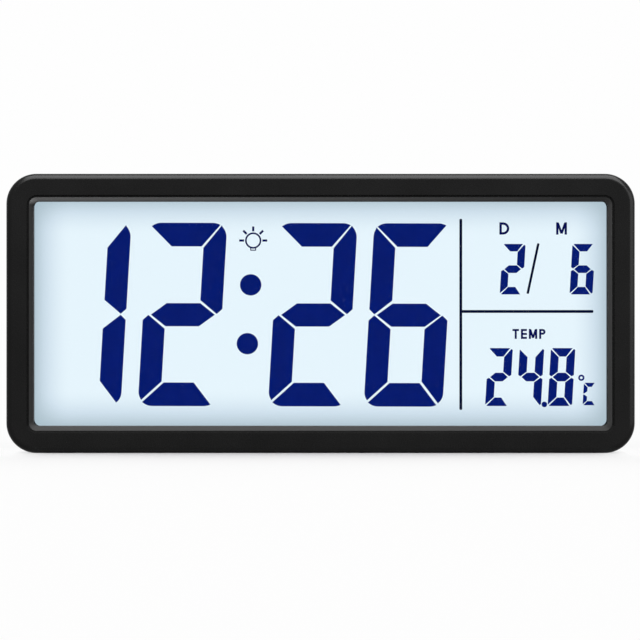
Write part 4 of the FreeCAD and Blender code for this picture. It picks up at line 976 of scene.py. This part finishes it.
def screwTree(plan):
    names = ("headRadius", "headHeight", "shankRadius", "shankLength", "pitch")
    tree, given = newTree("screwNodes", *names)
    radius, height, shank, length, pitch = [given[name] for name in names]

    def times(size, share):
        return mathNode(tree, "MULTIPLY", size, share)
    rim = times(height, plan["rim"])
    drum = addNode(tree, "GeometryNodeMeshCylinder", {
        "Vertices": plan["headSides"], "Radius": radius, "Depth": rim})
    dome = addNode(tree, "GeometryNodeMeshCone", {
        "Vertices": plan["headSides"], "Radius Bottom": radius, "Radius Top": times(radius, plan["domeTop"]),
        "Depth": times(height, plan["crown"])})
    stock = addNode(tree, "GeometryNodeMeshBoolean", {
        "Mesh 2": [raised(tree, drum, times(rim, 0.5)), raised(tree, dome, rim)]},
        operation="UNION", solver="EXACT")
    reach, width, depth = [times(size, plan[share]) for size, share in (
        (radius, "slotReach"), (radius, "slotWidth"), (height, "slotDepth"))]
    slots = []
    for wide, long in ((reach, width), (width, reach)):
        box = addNode(tree, "ShaderNodeCombineXYZ", {"X": wide, "Y": long, "Z": depth})
        slots.append(raised(tree, addNode(tree, "GeometryNodeMeshCube", {"Size": box}), height))
    head = addNode(tree, "GeometryNodeMeshBoolean", {"Mesh 1": stock, "Mesh 2": slots}, operation="DIFFERENCE",
                   solver="EXACT")
    core = addNode(tree, "GeometryNodeMeshCylinder", {
        "Vertices": plan["coreSides"], "Radius": times(shank, plan["core"]), "Depth": length})
    crest = times(shank, plan["crest"])
    path = addNode(tree, "GeometryNodeCurveSpiral", {
        "Resolution": plan["threadSteps"], "Rotations": mathNode(tree, "DIVIDE", length, pitch),
        "Start Radius": crest, "End Radius": crest, "Height": length})
    thread = tube(tree, path, plan["threadSides"], times(shank, plan["ridge"]))
    screw = addNode(tree, "GeometryNodeJoinGeometry", {"Geometry": [
        head, raised(tree, core, times(length, -0.5)), raised(tree, thread, times(length, -1.0))]})
    return placeAll(tree, given, screw, plan["seed"])


screwNodes = screwTree(screwForm)
for node, values in screwSizes.items():
    sizes = {name: value * mm for name, value in values.items() if name not in ("places", "tilt")}
    places = [(*place, (values["tilt"], 0, 0)) for place in values["places"]]
    item = runTree(node.replace("screws", "crosshead_screws"), screwNodes, places, "screwSteel", **sizes)
    finishPiece(item, "case", "steel", node)
print("screws ready")


# battery springs: cone-shaped coils that narrow towards the cell

springSizes = {"wide": 3.1, "narrow": 2.1, "length": 5.5, "wire": 0.34}  # mm
springForm = {
    "turns": 4.0, "turnSteps": 28, "wireSides": 10,
    "places": [(90.0, 6.05, 62.3, (0, -90, 0)), (40.0, 6.05, 51.0, (0, 90, 0)), (90.0, 6.05, 39.7, (0, -90, 0))],
}


def springTree(plan):
    tree, given = newTree("springNodes", "wide", "narrow", "length", "wire", "turns")
    path = addNode(tree, "GeometryNodeCurveSpiral", {
        "Resolution": plan["turnSteps"], "Rotations": given["turns"], "Start Radius": given["wide"],
        "End Radius": given["narrow"], "Height": given["length"]})
    return placeAll(tree, given, tube(tree, path, plan["wireSides"], given["wire"]))


sizes = {name: value * mm for name, value in springSizes.items()}
springs = runTree("coiled_springs", springTree(springForm), springForm["places"], "contactNickel",
                  turns=springForm["turns"], **sizes)
finishPiece(springs, "case", "contact_nickel", "battery_springs")
print("springs ready")


# grip ribs: rounded bars in a row, each ending in its carrier

ribForm = {"steps": 12, "sides": 12}
ribRows = {  # body, slot, finish, middle of the row, bars, pitch, bar length and radius in mm, and turn
    "slider_ribs": ("slider", "key_black", "keyPlastic", (-78.0, 13.28, 57.0), 4, 0.8, 2.6, 0.2, 90),
    "leg_ribs": ("leg", "case_black", "rearPlastic", (0.0, 13.06, 9.2), 5, 1.6, 24.0, 0.3, 0),
}


def ribTree(plan):
    tree, given = newTree("ribNodes", "length", "radius")
    start, end = [alongAxis(tree, "X", mathNode(tree, "MULTIPLY", given["length"], share))
                  for share in (-0.5, 0.5)]
    bar = addNode(tree, "GeometryNodeCurvePrimitiveLine", {"Start": start, "End": end}, mode="POINTS")
    bar = addNode(tree, "GeometryNodeResampleCurve", {"Curve": bar, "Count": plan["steps"]})
    return placeAll(tree, given, tube(tree, bar, plan["sides"], given["radius"]))


ribNodes = ribTree(ribForm)
for name, (body, slotName, label, middle, bars, pitch, length, radius, turn) in ribRows.items():
    across, depth, up = middle
    steps = [(bar - (bars - 1) / 2) * pitch for bar in range(bars)]
    places = [(across + step * bool(turn), depth, up + step * (not turn), (0, turn, 0)) for step in steps]
    item = runTree(name, ribNodes, places, label, length=length * mm, radius=radius * mm)
    finishPiece(item, body, slotName)
print("ribs ready")


# key signs: a lamp, a ring, a square, a plus and a minus, as raised prints

keySigns = {
    "face": 13.3, "rise": 0.04, "sink": 0.06, "up": 72.0, "reach": 1.25, "stroke": 0.42,  # mm
    "lampRadius": 0.5, "rayFrom": 0.85, "rayTo": 1.35, "square": 0.9,  # shares of the reach
    "rayStroke": 0.7, "rayTurns": range(0, 360, 45), "lampSteps": 32, "ringSteps": 40,
}


def buildKeySign(key, across, plan):
    work = bmesh.new()
    depths = plan["face"] - plan["sink"], plan["face"] + plan["rise"]
    up, reach, stroke = plan["up"], plan["reach"], plan["stroke"]
    centre, half = (across, up), stroke / 2
    if key == "light":
        circleRing(work, centre, reach * plan["lampRadius"], stroke, plan["lampSteps"], *depths)
        rays(work, centre, plan["rayTurns"], reach * plan["rayFrom"], reach * plan["rayTo"],
             stroke * plan["rayStroke"], *depths)
    elif key == "mode":
        circleRing(work, centre, reach - half, stroke, plan["ringSteps"], *depths)
    elif key == "set":
        side = reach * plan["square"]
        ringPrism(work, *[boxLoop(across - size, up - size, across + size, up + size)
                          for size in (side, side - stroke)], *depths)
    elif key == "down":
        prism(work, boxLoop(across - reach, up - half, across + reach, up + half), *depths)
    else:
        arm, plus = [(-reach, -half), (-half, -half), (-half, -reach)], []
        for quarter in range(4):
            plus += arm
            arm = [(-rise, side) for side, rise in arm]
        prism(work, [(across + side, up + rise) for side, rise in plus], *depths)
    return closedObject(key + "_key_sign", work, "legendPlastic")


for key in keyNames:
    low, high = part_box(key + "_key")
    finishPiece(buildKeySign(key, (low[0] + high[0]) / 2 / mm, keySigns), key + "_button", "key_black")
print("key signs ready")


# finishes of the solids that stay as they are

nodeFinishes = {
    "milkyPlastic": ("rear_polariser", "diffuser_sheet", "light_guide", "reflector_sheet", "backlight_leds"),
    "foamTape": ("lens_tape",),
    "carrierPlastic": ("display_carrier",),
    "boardResist": ("main_board", "backlight_boards"),
    "ribbonFilm": ("display_ribbon",),
    "partPlastic": ("controller_chip", "buzzer", "temperature_sensor", "key_switches", "slide_switch_body",
                    "slide_switch_lever", *[key + "_switch_stem" for key in keyNames]),
    "screwSteel": ("clock_crystal", "stand_hinge_pin"),
    "contactNickel": ("battery_contacts",),
    "padRubber": ("stand_foot_pad",),
    "cellPlusLeft": ("battery_cell_1", "battery_cell_3"),
    "cellPlusRight": ("battery_cell_2",),
    "leadSleeve": ("battery_leads", "backlight_leads"),
}
for label, nodes in nodeFinishes.items():
    for node in nodes:
        cadNodes[node].data.materials.clear()
        cadNodes[node].data.materials.append(finishes[label])
print("solids finished")


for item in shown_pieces():
    clockGroup.objects.link(item)

low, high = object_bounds()
